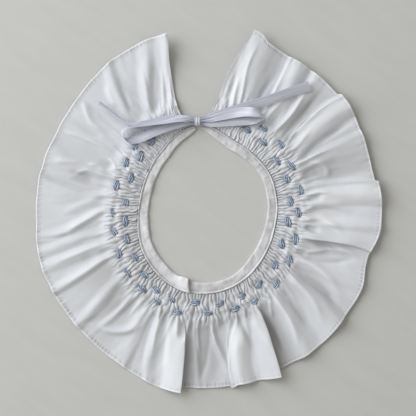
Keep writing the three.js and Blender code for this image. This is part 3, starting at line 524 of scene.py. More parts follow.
# The large folds: angle beside the smocking, halfway and at the hem, height at the same three places,
# reach behind and ahead, how far it laps over and to which side (0 for none), and how sharp its crest is.
folds = [
    (107.3, 105.6, 104, 1.5, 6, 8, 6, 6, 0, 1),
    (122, 115.4, 110.5, 3, 5.5, 4.5, 6.5, 10, 0, 1.1),
    (132, 129.6, 124.5, 2, 5, 4, 6, 8, 0, 1.1),
    (146, 144, 142.5, 1, 2.5, 3.5, 10, 9, 0, 1),
    (162, 163, 158, 3, 3, 1.5, 8, 7, 0, 1.2),
    (173, 173.5, 169, 3, 5, 3.5, 6, 15, 0, 1),
    (181.5, 188.5, 190.5, 2, 5.5, 1.5, 8, 5, 0, 1.4),
    (193.5, 194, 195, 1.5, 3, 3, 7, 7, 0, 1.2),
    (200, 199.3, 200.5, 3, 4, 2.5, 7, 7, 0, 1.2),
    (206, 208, 208.4, 3, 5, 5, 8, 4, 0, 1.3),
    (219, 221.3, 221.5, 3, 5.5, 5, 8, 6, 0, 1),
    (229, 228.6, 226, 3, 3.5, 0.5, 4, 4, 0, 1.3),
    (239, 237, 215, 3, 5, 0, 7, 6, 0, 1.2),
    (240.5, 241, 241.5, 1, 3, 5, 16, 5, 0, 1),
    (246, 247.2, 250, 4, 4.5, 3, 5, 9, 0, 1.2),
    (257.5, 259, 259.8, 4, 7, 8, 13, 2.6, 1, 1),
    (263, 265, 266.5, 2.5, 3.2, 1, 4, 4, 0, 1.4),
    (270.5, 274.5, 279, 2, 3.5, 0, 4, 4, 0, 1.3),
    (283.5, 278.4, 278.7, 2.5, 2.6, 2.8, 2.2, 6, -0.3, 1),
    (286.6, 281.4, 281.2, 3.5, 8, 9, 6.5, 10, 0, 0.6),
    (295, 293.6, 291.8, 4, 7, 7.5, 12, 2.8, 1, 1),
    (307, 306, 303.5, 4, 6, 4.5, 9, 13, 0, 1),
    (320, 320, 318.5, 3.5, 6, 5, 13, 9, 0, 1),
    (330, 331, 333, 2, 3.2, 2, 8, 8, 0, 1.2),
    (337.5, 341.5, 343, 3, 2, 0, 5, 5, 0, 1.3),
    (343.8, 346, 345.4, 4.5, 6.5, 3, 2.8, 12, -0.6, 1),
    (350.5, 352.5, 353.5, 4, 4.5, 2.5, 8, 6, 0, 1.2),
    (366.2, 366, 364.4, 4, 7.5, 7, 9, 11, 0, 0.55),
    (372.4, 371.2, 368.6, 2.5, 4.2, 4.2, 6, 1.8, 0.3, 1),
    (386.3, 386.3, 386, 3.5, 5, 3.5, 14, 3.5, 0, 1.2),
    (393.4, 396.6, 396, 4, 7, 7, 8.5, 11, 0, 0.55),
    (400, 401.2, 399.8, 2.5, 3.6, 3.6, 6, 2, 0.3, 1),
    (408.3, 409.5, 411, 4, 5, 3.5, 11, 5.5, 0, 1.1),
    (413, 415.6, 418, 3.5, 6.5, 6.5, 9, 9, 0, 0.55),
    (419.4, 420.2, 421.2, 2.5, 3.2, 3.4, 6, 2, 0.3, 1),
    (432.6, 434.2, 433.2, 4, 6.5, 6.5, 20, 12, 0, 0.8),
    (446, 442, 437, 3.5, 5.5, 6, 9, 9, 0, 1),
]

# The smaller creases: the places (angle, radius) that it runs through, its rise (a trough's is below 0),
# and its width behind and ahead of it.
creases = [
    ([(112, 72), (107.6, 100), (105, 121)], 1.6, 1.4, 1.2),
    ([(115, 74), (110, 94), (107.8, 109)], 1.6, 0.8, 1.2),
    ([(110.8, 70), (107.6, 89), (106.4, 99)], 1.4, 0.7, 0.8),
    ([(112.6, 74), (108.7, 92), (107.2, 101)], -1.4, 0.7, 0.8),
    ([(117.6, 72), (114.6, 84), (112.4, 93)], 1, 0.8, 0.8),
    ([(122.4, 76), (117.4, 96), (115.6, 112)], 1.3, 1.2, 2.8),
    ([(118.8, 74), (113.6, 93), (109.5, 114)], -1.4, 2.4, 2.4),
    ([(129.7, 84), (126.8, 100), (124, 113)], -1.4, 1.8, 1.3),
    ([(133.4, 96), (129.6, 113.7)], 1.5, 2, 2.8),
    ([(139.5, 117), (144.4, 101), (143.6, 87)], 1.7, 1, 2.8),
    ([(147, 116), (147.8, 101), (146.6, 88)], -1.3, 1.6, 2.6),
    ([(152.4, 116), (151.1, 103), (150.2, 89), (149.7, 75)], 1.5, 0.9, 1.6),
    ([(160, 90), (158.9, 83), (159.8, 76)], 1.8, 1, 1),
    ([(153.4, 78), (155.1, 73), (158.6, 69.8)], 1.9, 0.8, 0.9),
    ([(168.6, 101), (165.8, 96), (162.6, 89), (163.4, 82)], 1.8, 1, 1.3),
    ([(163.4, 114), (161.4, 102), (160, 92)], 1.2, 1.4, 2.2),
    ([(169, 118), (170.1, 101), (171.6, 88), (170.6, 73)], -1.6, 2.4, 1.8),
    ([(174, 76), (180, 94), (184.5, 108)], 1.2, 2.4, 3.2),
    ([(180.8, 72), (185, 84), (188, 94.5), (190.6, 103)], 2, 2.4, 1.4),
    ([(190.5, 98), (190.8, 110), (190, 124)], -1.3, 0.9, 1.4),
    ([(187.5, 73), (189.6, 90)], -1.2, 1.4, 1.4),
    ([(194.5, 73), (195, 99)], -1.1, 1.6, 1.6),
    ([(198, 75), (199, 98), (200, 120)], 1.4, 1.4, 2),
    ([(202.5, 86), (203, 113)], -1, 1.8, 2.2),
    ([(205.6, 76), (207.4, 98), (208.2, 121)], 1.9, 2.6, 1.4),
    ([(211.5, 80), (212, 104), (213.5, 120)], -0.9, 2, 3.5),
    ([(217.5, 76), (220, 100), (221.5, 123)], 1.1, 2.4, 3),
    ([(227, 86), (225, 105), (222, 123)], -1.8, 1.4, 1.8),
    ([(228.5, 76), (228.6, 102)], 1.4, 1, 1.5),
    ([(231, 79), (231.2, 100)], -1.4, 1.1, 1.1),
    ([(233.6, 76), (233.6, 96)], 1.4, 1, 1.2),
    ([(239, 76), (238, 86), (237, 101), (231.5, 110), (224, 113)], 1.8, 2.6, 1.7),
    ([(243, 79), (243.2, 94), (244.5, 108), (247.5, 121)], -1.8, 1.4, 1.4),
    ([(244.4, 76), (246.4, 92), (249.2, 116)], 1.6, 1, 1.5),
    ([(251, 78), (253.4, 100), (256.2, 123)], 1.3, 1.8, 3),
    ([(254.2, 78), (254.6, 88), (256.8, 97)], 1.4, 1, 1),
    ([(259.4, 78), (259.8, 88), (257.4, 97)], 1.4, 1, 1),
    ([(264, 76), (265.2, 92), (266.8, 106)], 1.5, 0.9, 1),
    ([(261.8, 76), (262, 100)], -1.4, 1, 1),
    ([(270.2, 79), (269, 98), (267.2, 123)], -2.2, 1.8, 1.6),
    ([(270.8, 80), (273, 94), (276.4, 107)], 1.7, 1, 1.3),
    ([(283.7, 75), (279.4, 84.6), (277.7, 94), (277.4, 112), (278.2, 124)], 0.5, 0.7, 0.9),
    ([(285, 73), (286.6, 92), (287.4, 107)], -1.8, 1.8, 1.6),
    ([(290.6, 82), (292, 98), (293, 115)], 1.1, 2.4, 1.8),
    ([(297.4, 76), (297.6, 98), (296.6, 117)], -2, 1.4, 1.8),
    ([(303.4, 76), (301, 84), (299.4, 90)], 1.6, 0.9, 1),
    ([(306.6, 73), (305.4, 98), (303, 112), (300.4, 122)], 1.7, 1.6, 2.6),
    ([(310.6, 75), (310.8, 96), (309.6, 114)], -1.9, 2.6, 3.2),
    ([(314, 76), (313, 92)], 0.9, 1, 1.2),
    ([(318.7, 70), (319.1, 85), (317.7, 99), (314, 116)], 2.4, 2, 3),
    ([(324.6, 76), (324.4, 96), (322.6, 116)], -2.2, 2.4, 2.4),
    ([(329.3, 68), (331, 84), (328.7, 100), (326, 113)], 2.2, 1.8, 3),
    ([(331.6, 73), (335, 88), (338, 100), (341.4, 109)], -1.8, 1.2, 1.6),
    ([(334.8, 73), (338, 81), (341.2, 89)], 1.6, 1, 1.3),
    ([(342.4, 76), (342.6, 99)], -1.5, 1.4, 1.2),
    ([(341.2, 84), (342.4, 100), (341, 113)], 1.2, 1, 2.4),
    ([(352.4, 65), (354.4, 78), (351.6, 89), (348.7, 96)], 2.2, 1.3, 3.4),
    ([(358.6, 66), (361.4, 78), (360.4, 90), (357.4, 101)], 2, 1.3, 4),
    ([(366.6, 68), (368.2, 78), (366.4, 88)], 1.4, 1.4, 1.8),
    ([(374.2, 71), (373, 86), (371.4, 102), (369.6, 117)], 0.9, 0.9, 0.7),
    ([(373.8, 84), (378, 86.5), (382.3, 83), (384.4, 74)], 1.3, 1.8, 1.4),
    ([(386.4, 66), (386.6, 82), (386.4, 96)], 1.7, 1.4, 0.8),
    ([(386.4, 70), (390.6, 86), (391.1, 102), (391.4, 119)], -2, 1.3, 1.7),
    ([(393.4, 68), (396, 80), (398, 92)], 1.1, 1, 1.4),
    ([(397.9, 66), (399.5, 71), (402.7, 87), (401.6, 103), (400.5, 120)], 1, 0.8, 0.7),
    ([(404.4, 71), (405.2, 92), (406.6, 116)], -1.7, 1.6, 2),
    ([(409.7, 67), (408.3, 85), (409.7, 100), (411.2, 110)], 2, 1.2, 2),
    ([(412.6, 70), (413.2, 89)], -1.2, 2, 2.4),
    ([(417, 68), (416.4, 84), (414.6, 100)], 1.1, 1.2, 1.4),
    ([(424.6, 66), (425, 86), (424, 104)], -1.2, 1.4, 2),
    ([(420.6, 70), (420.9, 90), (421.3, 107), (422.3, 118)], 0.9, 0.8, 0.7),
    ([(428.4, 68), (428.4, 84)], 1, 1, 1.2),
    ([(432.9, 72), (433.8, 84), (434.7, 103), (433, 124)], 1.3, 0.8, 0.9),
    ([(436.6, 68), (437.4, 82), (436.4, 96)], 1, 1, 1.3),
    ([(439.4, 68), (439.6, 84), (437.6, 98)], -1.1, 1.1, 1.2),
    ([(443, 67), (441.2, 84), (438.4, 104)], 1.2, 1, 1.2),
]

# Hollows that the smocking leaves where its cloth opens: angle, radius, half size across and along, depth.
hollows = [
    (118.5, 76, 2.2, 5, 1.2), (125.6, 83, 3.4, 6, 1.4), (134, 74, 2.4, 5, 1.3), (146, 72, 2.2, 5, 1.2),
    (167, 92, 3.8, 7, 2.2), (157.2, 79, 2.8, 5, 2.3), (161, 74, 1.8, 4, 1.2), (175, 73, 1.8, 4, 1.2),
    (202.6, 77, 2, 5, 1.3), (213, 80, 2.2, 5, 1.2), (224.4, 81, 2, 5, 1.2), (236.4, 83, 1.8, 5, 1.2),
    (248.2, 83, 1.8, 5, 1.2), (256.8, 87, 2.3, 6, 1.9), (276.6, 80, 2.2, 6, 1.5), (290.6, 76, 2, 5, 1.1),
    (334, 71, 1.8, 4, 1.2), (348.6, 73, 2, 4.5, 1.8), (365.6, 74, 2.3, 4.5, 1.9), (379, 75, 2.8, 5, 2),
    (399.6, 76, 2.1, 5.5, 1.8), (393, 70, 1.8, 4, 1.2),
]

# Painted shade where the cloth lies in its neighbours' shade, and painted light where it stands clear of them
# (below 0): angle, radius, half size across and along, and how much.
shades = [
    (268.4, 100, 11.5, 25, 0.15), (282.6, 104, 7, 22, -0.16), (299, 104, 8, 22, 0.16),
    (321, 98, 12, 26, 0.09), (254.6, 106, 6, 22, -0.1), (363.6, 104, 6, 18, -0.06), (441, 92, 9, 24, -0.16),
    (120, 88, 9, 16, 0.05), (160, 94, 20, 26, 0.06), (202, 82, 12, 14, 0.05), (221, 84, 16, 16, 0.12),
    (226, 98, 24, 28, 0.06), (342, 92, 4, 16, 0.02), (377.5, 99, 8, 24, 0.18), (387.5, 100, 5, 20, 0.12),
    (404.8, 101, 5, 17, 0.13), (425.5, 104, 6, 18, 0.1), (366.2, 100, 7, 20, -0.08), (356, 82, 5, 10, -0.12),
    (397.2, 101, 7, 20, -0.08), (418.6, 106, 5, 14, -0.08), (124.5, 98, 3, 14, 0.06), (165.5, 92, 5, 8, 0.06),
]

# The bars of floss: angle, distance out from the neckband, length, and turn from the neckline's direction.
innerBars = [
    (130.5, 8.7, 7.5, 14), (143, 9.2, 8, 15), (159, 8.7, 7, -9), (176, 8.7, 5.4, -8),
    (188.8, 7.9, 8, -20), (200.5, 8, 7.5, -12), (213.7, 5.8, 7.2, 0), (226, 6.5, 6.9, -8),
    (237.5, 8, 7.4, -20), (247.8, 8, 6.2, -24), (262, 5.6, 7.2, 4), (276.3, 7, 7.4, 20),
    (290.3, 8, 6.2, 7), (302.9, 8.5, 7.2, 16), (319.3, 8.7, 6.4, 14), (333.7, 6.9, 6.6, 18),
    (350, 7.2, 7.4, 8), (364, 8.4, 7.4, -12), (380.5, 8.9, 7, -14), (394.8, 8.4, 7.2, -3),
    (410.9, 10, 7.4, -11), (424.4, 10.4, 6.8, -22),
]
outerBars = [
    (127, 17.6, 6.8, 10), (140.3, 16.1, 6.2, 20), (151.3, 15.8, 7, 7), (166.2, 17.3, 7.5, -11),
    (182.7, 17.1, 7.4, 10), (194, 16.6, 8, 14), (206.8, 15.4, 7.7, -26), (218.3, 15.6, 7.8, 0),
    (230.5, 13.9, 7.6, -10), (241, 13.9, 6.6, -11), (253.2, 14.7, 6.8, 7), (269.3, 12.6, 7, -14),
    (284.6, 13.8, 7, 6), (296.4, 16, 5.8, 4), (311.6, 17.3, 8.2, 13), (326.8, 16.6, 8.2, 18),
    (340, 15, 8.2, 14), (357, 13.9, 6.6, 8), (371.3, 16.3, 7.3, -15), (387, 15.5, 8, 5),
    (401.2, 17.5, 7.8, -13), (415.6, 17.6, 7.4, -15),
]
smocking = {
    "pinchAngle": 4.6, "pinchOut": 3.2, "drawIn": 0.42, "sink": 1, "puffRise": 1, "puffSize": 2.7,
    "pairReach": 14, "drift": 0.55, "lump": 0.6, "shade": 0.05, "grooveShade": 0.34, "puffLight": 0.14,
    # angle, how much painted light the smocking gets there (painted shade below 0), and how tall its pleats
    # are
    "around": [(103.5, 0.12, 0.65), (125, 0.1, 0.72), (145, 0.01, 0.9), (180, 0, 1), (205, -0.04, 1),
               (225, -0.06, 1), (243, -0.02, 1), (265, -0.05, 1), (300, -0.04, 1), (322, 0, 1),
               (342, 0.07, 1), (360, 0.06, 0.95), (382, 0.01, 0.85), (402, 0.01, 0.82), (420, 0.07, 0.7),
               (440, 0.1, 0.65), (452, 0.12, 0.65)],
}
gathers = {"count": 190, "start": 3, "span": 342, "rise": (0.3, 1.1), "width": (0.7, 1.5), "length": (8, 32),
           "from": 14.5}


def ruffleDepth(angle):
    return rowValue(ruffle["hem"], 1, angle) - bandEdge(angle) - seamGap


# a fold's height at a share of the open ruffle, 0 at the smocking and 1 at the hem
def alongFold(near, middle, hem, share):
    early = near + (middle - near) * smoothStep(0, 0.5, share)
    return np.where(share < 0.5, early, middle + (hem - middle) * smoothStep(0.5, 1, share))


# its crest swings through the angles at shares 0.1, 0.5 and 1
def crestAngle(fold, share):
    near, middle, hem = fold[:3]
    return (near * (share - 0.5) * (share - 1) / 0.36 - middle * (share - 0.1) * (share - 1) / 0.2
            + hem * (share - 0.1) * (share - 0.5) / 0.45)


# the height of the large folds, how far the lapped ones lean out over their edges, and the painted shade
# beside those edges
def foldShape(angle, radius, share):
    height, lean, shade = np.zeros_like(angle), np.zeros_like(angle), np.zeros_like(angle)
    for fold in folds:
        near, middle, hem, back, ahead, lap, sharp = fold[3:]
        aside = (angle - crestAngle(fold, share)) * degree * radius
        t = np.clip(np.abs(aside) / np.where(aside < 0, back, ahead), 0, 1)
        rise = np.maximum(0, alongFold(near, middle, hem, share))
        rise = rise * ruffle["lappedRise" if lap else "foldRise"]
        height += (rise * (1 - t * t * (3 - 2 * t)) ** sharp) ** 3
        if lap:
            toEdge = math.copysign(1, lap) * aside
            fade = smoothStep(-ruffle["lapTail"], 0, toEdge)
            fade *= 1 - smoothStep(0, ahead if lap > 0 else back, toEdge)
            lean += lap * ruffle["lapLean"] * rise / ruffle["usualFold"] * fade
            beside = smoothStep(0, 2, toEdge) * (1 - smoothStep(2, ruffle["lapShadeReach"], toEdge))
            shade += abs(lap) * rise / ruffle["usualFold"] * beside
    return np.cbrt(height), lean, shade


def creaseHeight(spot):
    total = np.zeros(len(spot))
    for places, rise, back, ahead in creases:
        path = smoothPath([polar(*place) for place in places], 6)
        reach = 3 * max(back, ahead)
        inside = np.all((spot > path.min(0) - reach) & (spot < path.max(0) + reach), axis=1)
        near = spot[inside]
        steps = np.linalg.norm(np.diff(path, axis=0), axis=1)
        walked = np.concatenate([[0], np.cumsum(steps)])
        nearest = np.full(len(near), 1e9)
        along, side = np.zeros(len(near)), np.zeros(len(near))
        for k, (a, b) in enumerate(zip(path[:-1], path[1:])):
            run = b - a
            t = np.clip((near - a) @ run / (run @ run), 0, 1)
            off = near - a - np.outer(t, run)
            distance = (off ** 2).sum(1)
            closer = distance < nearest
            nearest = np.where(closer, distance, nearest)
            along = np.where(closer, (walked[k] + t * steps[k]) / walked[-1], along)
            side = np.where(closer, run[0] * off[:, 1] - run[1] * off[:, 0], side)
        width = np.where(side > 0, ahead, back)
        taper = smoothStep(0, 0.2, along) * (1 - smoothStep(0.6, 1, along))
        total[inside] += rise * taper * np.exp(-nearest / width ** 2)
    return total


def patchSum(patches, spot):
    total = np.zeros(len(spot))
    for angle, radius, across, outwards, depth in patches:
        away = spot - polar(angle, radius)
        out = away @ polar(angle, 1)
        aside = away @ polar(angle + 90, 1)
        total += depth * np.exp(-(out / outwards) ** 4 - (aside / across) ** 4)
    return total


# the small gathers that run on from the smocking and die out in the open cloth
def gatherHeight(angle, radius, out):
    total = np.zeros_like(angle)

    def span(name, number, salt):
        low, high = gathers[name]
        return low + (high - low) * scatter(number, salt)

    for k in range(gathers["count"]):
        start = gathers["span"] * (k + 0.7 * scatter(k, 1)) / gathers["count"]
        start = ruffle["first"] + gathers["start"] + start
        near = np.abs(angle - start) < 8
        t = (out[near] - gathers["from"]) / span("length", k, 3)
        swing = (scatter(k, 2) - 0.5) * 5 * np.clip(t, 0, 1)
        aside = (angle[near] - start - swing) * degree * radius[near]
        spread = span("width", k, 5) * (1 + 0.8 * np.clip(t, 0, 1))
        rise = span("rise", k, 4) * smoothStep(0, 0.2, t) * (1 - smoothStep(0.3, 1, t))
        total[near] += rise * np.exp(-(aside / spread) ** 2)
    return total


# how far round and out from each bar, in shares of its reach
def fromBars(angle, out):
    for bar in innerBars + outerBars:
        yield bar[0], (angle - bar[0]) / smocking["pinchAngle"], (out - bar[1]) / smocking["pinchOut"]


# how strongly the nearest bars pinch the pleats
def pinch(angle, out):
    most = np.zeros_like(angle)
    for _, x, y in fromBars(angle, out):
        most = np.maximum(most, np.exp(-x ** 4 - y * y))
    return most


# the pleats are drawn together under each bar
def drawnAngle(angle, out):
    moved = angle.copy()
    for middle, x, y in fromBars(angle, out):
        moved -= smocking["drawIn"] * (angle - middle) * np.exp(-x * x - y * y)
    return moved


# and puff up halfway between an inner and an outer bar
def puffHeight(angle, radius, out):
    total = np.zeros_like(angle)
    for k, inner in enumerate(innerBars):
        for outer in outerBars:
            if abs(inner[0] - outer[0]) < smocking["pairReach"]:
                strength = smocking["puffRise"] * (0.6 + 0.8 * scatter(k, 21 + outer[0]))
                aside = (angle - (inner[0] + outer[0]) / 2) * degree * radius
                off = out - (inner[1] + outer[1]) / 2
                total += strength * np.exp(-(aside ** 2 + off ** 2) / smocking["puffSize"] ** 2)
    return total


# the two back ends slant, and draw the cloth beside them along
def slantedAngle(angle, share):
    left = rowValue(ruffle["ends"], 1, share) - ruffle["first"]
    right = rowValue(ruffle["ends"], 2, share) - ruffle["last"]
    fromLeft = 1 - smoothStep(0, ruffle["leftReach"], angle - ruffle["first"])
    fromRight = 1 - smoothStep(0, ruffle["rightReach"], ruffle["last"] - angle)
    return angle + left * fromLeft + right * fromRight


# where the cloth lies, from its angle, its place along the gathered edge and its distance out; its painted
# light and shade, from 0 deep in a groove through 0.5 to 1 on a turned rim; and how much of it is hem
def clothPlaces(angle, along, out):
    depth = ruffleDepth(angle)
    radius = bandEdge(angle) + seamGap + out
    arc = angle * degree * ruffle["meanRadius"]
    smockWidth = ruffle["smockWidth"]
    share = np.maximum(0, (out - smockWidth) / (depth - smockWidth))
    opened = smoothStep(smockWidth - 3, smockWidth + 8, out)
    packed = ruffle["heightAtBand"] + (ruffle["smockHeight"] - ruffle["heightAtBand"]) * smoothStep(0, 6, out)
    squeezed = pinch(angle, out)
    puffed = puffHeight(angle, radius, out) * (1 - opened)
    height = 0.5 + (packed - 0.5 - smocking["sink"] * squeezed) * (1 - opened) + puffed

    # pleats with round tops and tight grooves, no two alike, that drift and run into each other
    count = along * ruffle["pleats"] + smocking["drift"] * wobble(along * 85, out * 0.2, 8)
    count += 0.4 * smocking["drift"] * wobble(along * 190, out * 0.35, 15)
    top = np.abs(np.cos(math.pi * count)) ** 0.65
    uneven = 0.5 + 0.95 * scatter(np.round(count), 6) + 0.5 * wobble(along * 80, out * 0.25, 4)
    fade = 1 - smoothStep(smockWidth - 6, smockWidth + 7, out)
    paintedLighter, tall = (rowValue(smocking["around"], k, angle) for k in (1, 2))
    rise = ruffle["pleatRise"] * tall * (1 - 0.4 * squeezed - 0.3 * np.minimum(1, puffed))
    height += (top * uneven - 0.7) * rise * fade
    height += smocking["lump"] * wobble(along * 130, out * 0.42, 14) * fade
    # painted shade over the smocking and in its pleats' grooves, eased or deepened round the neck, and
    # painted light on its puffs
    paintedShading = 0.5 - fade * (smocking["shade"] - paintedLighter + smocking["grooveShade"] * tall * (1 - top) ** 1.5)
    paintedShading += smocking["puffLight"] * np.minimum(1, puffed)

    # the large folds, the creases and the gathers
    folded, lean, shade = foldShape(angle, radius, share)
    deeply, lifted = (rowValue(ruffle["relief"], k, angle) for k in (1, 2))
    height += folded * opened * deeply + smoothStep(0.3, 1, share) * lifted
    spot = polar(angle, radius)
    creased = (creaseHeight(spot) - patchSum(hollows, spot)) * deeply
    creased *= smoothStep(smockWidth - 6, smockWidth + 3, out)
    height += creased + gatherHeight(angle, radius, out)
    height += opened * (0.6 * wobble(arc * 0.07, out * 0.035, 1) + 0.4 * wobble(arc * 0.2, out * 0.07, 2))
    height += opened * 0.12 * wobble(arc * 0.36, out * 0.15, 16)
    # painted light on the creases' crests and painted shade in their troughs, painted shade beside the lapped
    # folds, and the painted patches of shade and light
    paintedShading += 0.07 * np.clip(creased, -2, 1.5) - (ruffle["lapShade"] * shade + patchSum(shades, spot)) * opened

    # the turned hem stands up a little, with a rounded rim, and puckers along its stitches
    inward = depth - out
    hemmed = smoothStep(-ruffle["hemWidth"] - 0.6, -ruffle["hemWidth"] + 0.6, -inward)
    rim = np.exp(-((inward - 0.6) / 0.5) ** 2) * (0.8 + 0.5 * wobble(arc * 0.1, 0, 17))
    phase = arc * 2 * math.pi / ruffle["puckerPitch"] + 3 * wobble(arc * 0.13, 0, 5)
    strength = ruffle["puckerRise"] * (0.7 + 0.9 * wobble(arc * 0.06, 0, 9))
    hem = hemmed * ruffle["hemRise"] + rim * ruffle["rimRise"] - 0.3 * np.exp(-(inward / 0.15) ** 2)
    hem += strength * np.sin(phase) * np.exp(-((inward - 2.3) / 1.7) ** 2)
    span = (ruffle["last"] - ruffle["first"]) * degree * radius
    toEnd = np.minimum(along, 1 - along) * span * 0.75
    endHem = smoothStep(-ruffle["endHem"] - 0.4, -ruffle["endHem"] + 0.4, -toEnd)
    endHem = endHem * ruffle["endHemRise"] * opened
    height = np.maximum(height, 0.42 + 0.1 * opened) + hem + endHem
    # painted highlight on the turned rim, brighter on the window's side, and a little painted shade on the
    # hem band
    paintedShading += rowValue(ruffle["rimLight"], 1, angle) * rim - 0.03 * hemmed * (1 - rim)

    radius = radius + 0.5 * smoothStep(0.5, 1, share) * wobble(arc * 0.09, 0, 7)
    turned = angle + lean * opened / (radius * degree)
    return np.column_stack([polar(turned, radius) + neckCentre, height]), paintedShading, hemmed * (1 - rim)


# angles of a row's columns, closer together at lapped folds
def columnAngles(share, count):
    low, high = (float(rowValue(ruffle["ends"], k, share)) for k in (1, 2))
    fine = np.linspace(low, high, 4001)
    weight = np.ones_like(fine)
    for fold in folds:
        if fold[8]:
            edge = crestAngle(fold, share) + math.copysign(0.7, fold[8])
            weight += 2.4 * np.exp(-((fine - edge) / 1.3) ** 2)
    total = np.concatenate([[0], np.cumsum((weight[1:] + weight[:-1]) / 2)])
    return np.interp(np.linspace(0, total[-1], count + 1), total, fine)


# joins two rows that differ in number, stepping on in the one that is behind
def zipRows(first, firstAt, second, secondAt):
    faces, i, j = [], 0, 0
    while i < len(first) - 1 or j < len(second) - 1:
        ahead = firstAt[i + 1] if i < len(first) - 1 else math.inf
        other = secondAt[j + 1] if j < len(second) - 1 else math.inf
        if ahead <= other:
            faces.append((first[i], second[j], first[i + 1]))
            i += 1
        else:
            faces.append((first[i], second[j], second[j + 1]))
            j += 1
    return faces


# the rows of the ruffle's points: angle, place along the gathered edge and distance out
def ruffleRows():
    rows = []
    columns = ruffle["pleats"] * ruffle["columnsPerPleat"]
    along = np.linspace(0, 1, columns + 1)
    even = ruffle["first"] + (ruffle["last"] - ruffle["first"]) * along
    pitch = (even[-1] - even[0]) / ruffle["pleats"]
    inEnds = smoothStep(0, 0.01, np.minimum(along, 1 - along))
    for k in range(ruffle["smockRows"]):
        out = np.full_like(even, ruffle["firstRow"] + k * ruffle["smockStep"])
        angle = drawnAngle(slantedAngle(even, out / ruffle["usualDepth"]), out)
        sway = 1.6 * wobble(along * 40, out * 0.09, 3) + wobble(along * 110, out * 0.16, 8)
        angle += ruffle["wander"] * pitch * sway * inEnds
        rows.append((angle, along, out))
    grid = np.linspace(ruffle["first"], ruffle["last"], 2001)
    smocked = out[0]
    edge = ruffle["hemRows"][0] + 0.7
    steps = [((k + 1) / ruffle["rows"], edge, ruffle["columns"]) for k in range(ruffle["rows"])]
    steps += [(1, inward, ruffle["hemColumns"]) for inward in ruffle["hemRows"]]
    for step, inward, columns in steps:
        share = (smocked + (ruffle["usualDepth"] - smocked - inward) * step) / ruffle["usualDepth"]
        angle = columnAngles(share, columns)
        out = smocked + (ruffleDepth(angle) - smocked - inward) * step
        even = np.interp(angle, slantedAngle(grid, share), grid)
        along = (even - ruffle["first"]) / (ruffle["last"] - ruffle["first"])
        rows.append((angle, along, out))
    return rows


def makeRuffle(material):
    rows = ruffleRows()
    angle, along, out = (np.concatenate([row[k] for row in rows]) for k in range(3))
    points, paintedShading, hemmed = clothPlaces(angle, along, out)
    starts = np.concatenate([[0], np.cumsum([len(row[0]) for row in rows])])
    numbers = [list(range(starts[k], starts[k + 1])) for k in range(len(rows))]
    faces = []
    for k in range(len(rows) - 1):
        a, b = numbers[k], numbers[k + 1]
        if len(a) == len(b):
            faces += [(a[i], b[i], b[i + 1], a[i + 1]) for i in range(len(a) - 1)]
        else:
            faces += zipRows(a, rows[k][0], b, rows[k + 1][0])
    cloth = np.column_stack([along * ruffle["clothLength"], out])
    piece = newPiece("ruffleCloth", points, faces, cloth)
    # the painted light and shade, kept on the points for the cloth's colour
    storeOnPoints(piece, "paintedShading", paintedShading)
    storeOnPoints(piece, "hemmed", hemmed)
    wall = piece.modifiers.new("wall", "SOLIDIFY")
    wall.thickness = ruffle["thickness"] * mm
    wall.offset = -1
    selectOnly(piece)
    bpy.ops.object.modifier_apply(modifier=wall.name)
    finishPiece(piece, material, "ruffle")
    print("ruffle made:", len(piece.data.polygons), "faces")


# Floss: three strands side by side in a bar, each twisted from two plies, with its ends drawn into the cloth.
floss = {
    "length": 7, "strandLength": 6.7, "strandWidth": 0.66, "strandHeight": 0.66, "apart": 1.22,
    "stagger": 0.3, "strands": 3, "plies": 2, "sides": 12, "plyDepth": 0.12, "twist": 420, "strandTurn": 70,
    "stations": 15, "drawnIn": 0.5, "arch": 1.35, "sink": 0.6, "luckyTurn": 12, "luckySize": 0.24,
    "crease": 80, "darker": (0, 0.22, 0.1),
}


def makeBarMaster():
    strands = []
    for s in range(floss["strands"]):
        rings = []
        aside = s - (floss["strands"] - 1) / 2
        for k in range(floss["stations"]):
            t = 2 * k / (floss["stations"] - 1) - 1
            size = (1 - 0.4 * abs(t) ** 4) * (1 - 0.1 * math.sin(4 * t + 2 * s))
            along = t * floss["strandLength"] / 2 + aside * floss["stagger"]
            shift = aside * floss["apart"] * (1 - floss["drawnIn"] * t * t) + 0.12 * math.sin(2.5 * t + 3 * s)
            turn = floss["twist"] * (t + 1) / 2 + floss["strandTurn"] * s
            rings.append((along, size * floss["strandWidth"], size * floss["strandHeight"], shift, turn))
        strand = drawnOut("floss_strand", floss["sides"], rings)
        grooves = []
        for number, vertex in enumerate(strand.data.vertices):
            station, place = divmod(number, floss["sides"])
            middle = Vector((vertex.co.x, rings[min(station, len(rings) - 1)][3] * mm, 0))
            dip = 0.5 + 0.5 * math.cos(2 * math.pi * floss["plies"] * place / floss["sides"])
            t = (vertex.co.x / mm - aside * floss["stagger"]) / (floss["strandLength"] / 2)
            toSide = abs(vertex.co.y - middle.y) / mm / floss["strandWidth"]
            # painted shade: in the grooves between the plies, on the strands' sides where they meet, and at
            # their ends where they go into the cloth
            deep = max(0.3 * dip, smoothStep(0.45, 1, toSide), abs(t) ** 4)
            grooves.append(floss["darker"][s] + deep)
            vertex.co = middle + (vertex.co - middle) * (1 - floss["plyDepth"] * dip)
            vertex.co.z -= (floss["arch"] * abs(t) ** 2.2 + 0.3 * aside ** 2 + 0.12 * s) * mm
        storeOnPoints(strand, "groove", grooves)
        strands.append(strand)
    deselectAll()
    for strand in strands:
        strand.select_set(True)
    bpy.context.view_layer.objects.active = strands[0]
    bpy.ops.object.join()
    return bpy.context.object


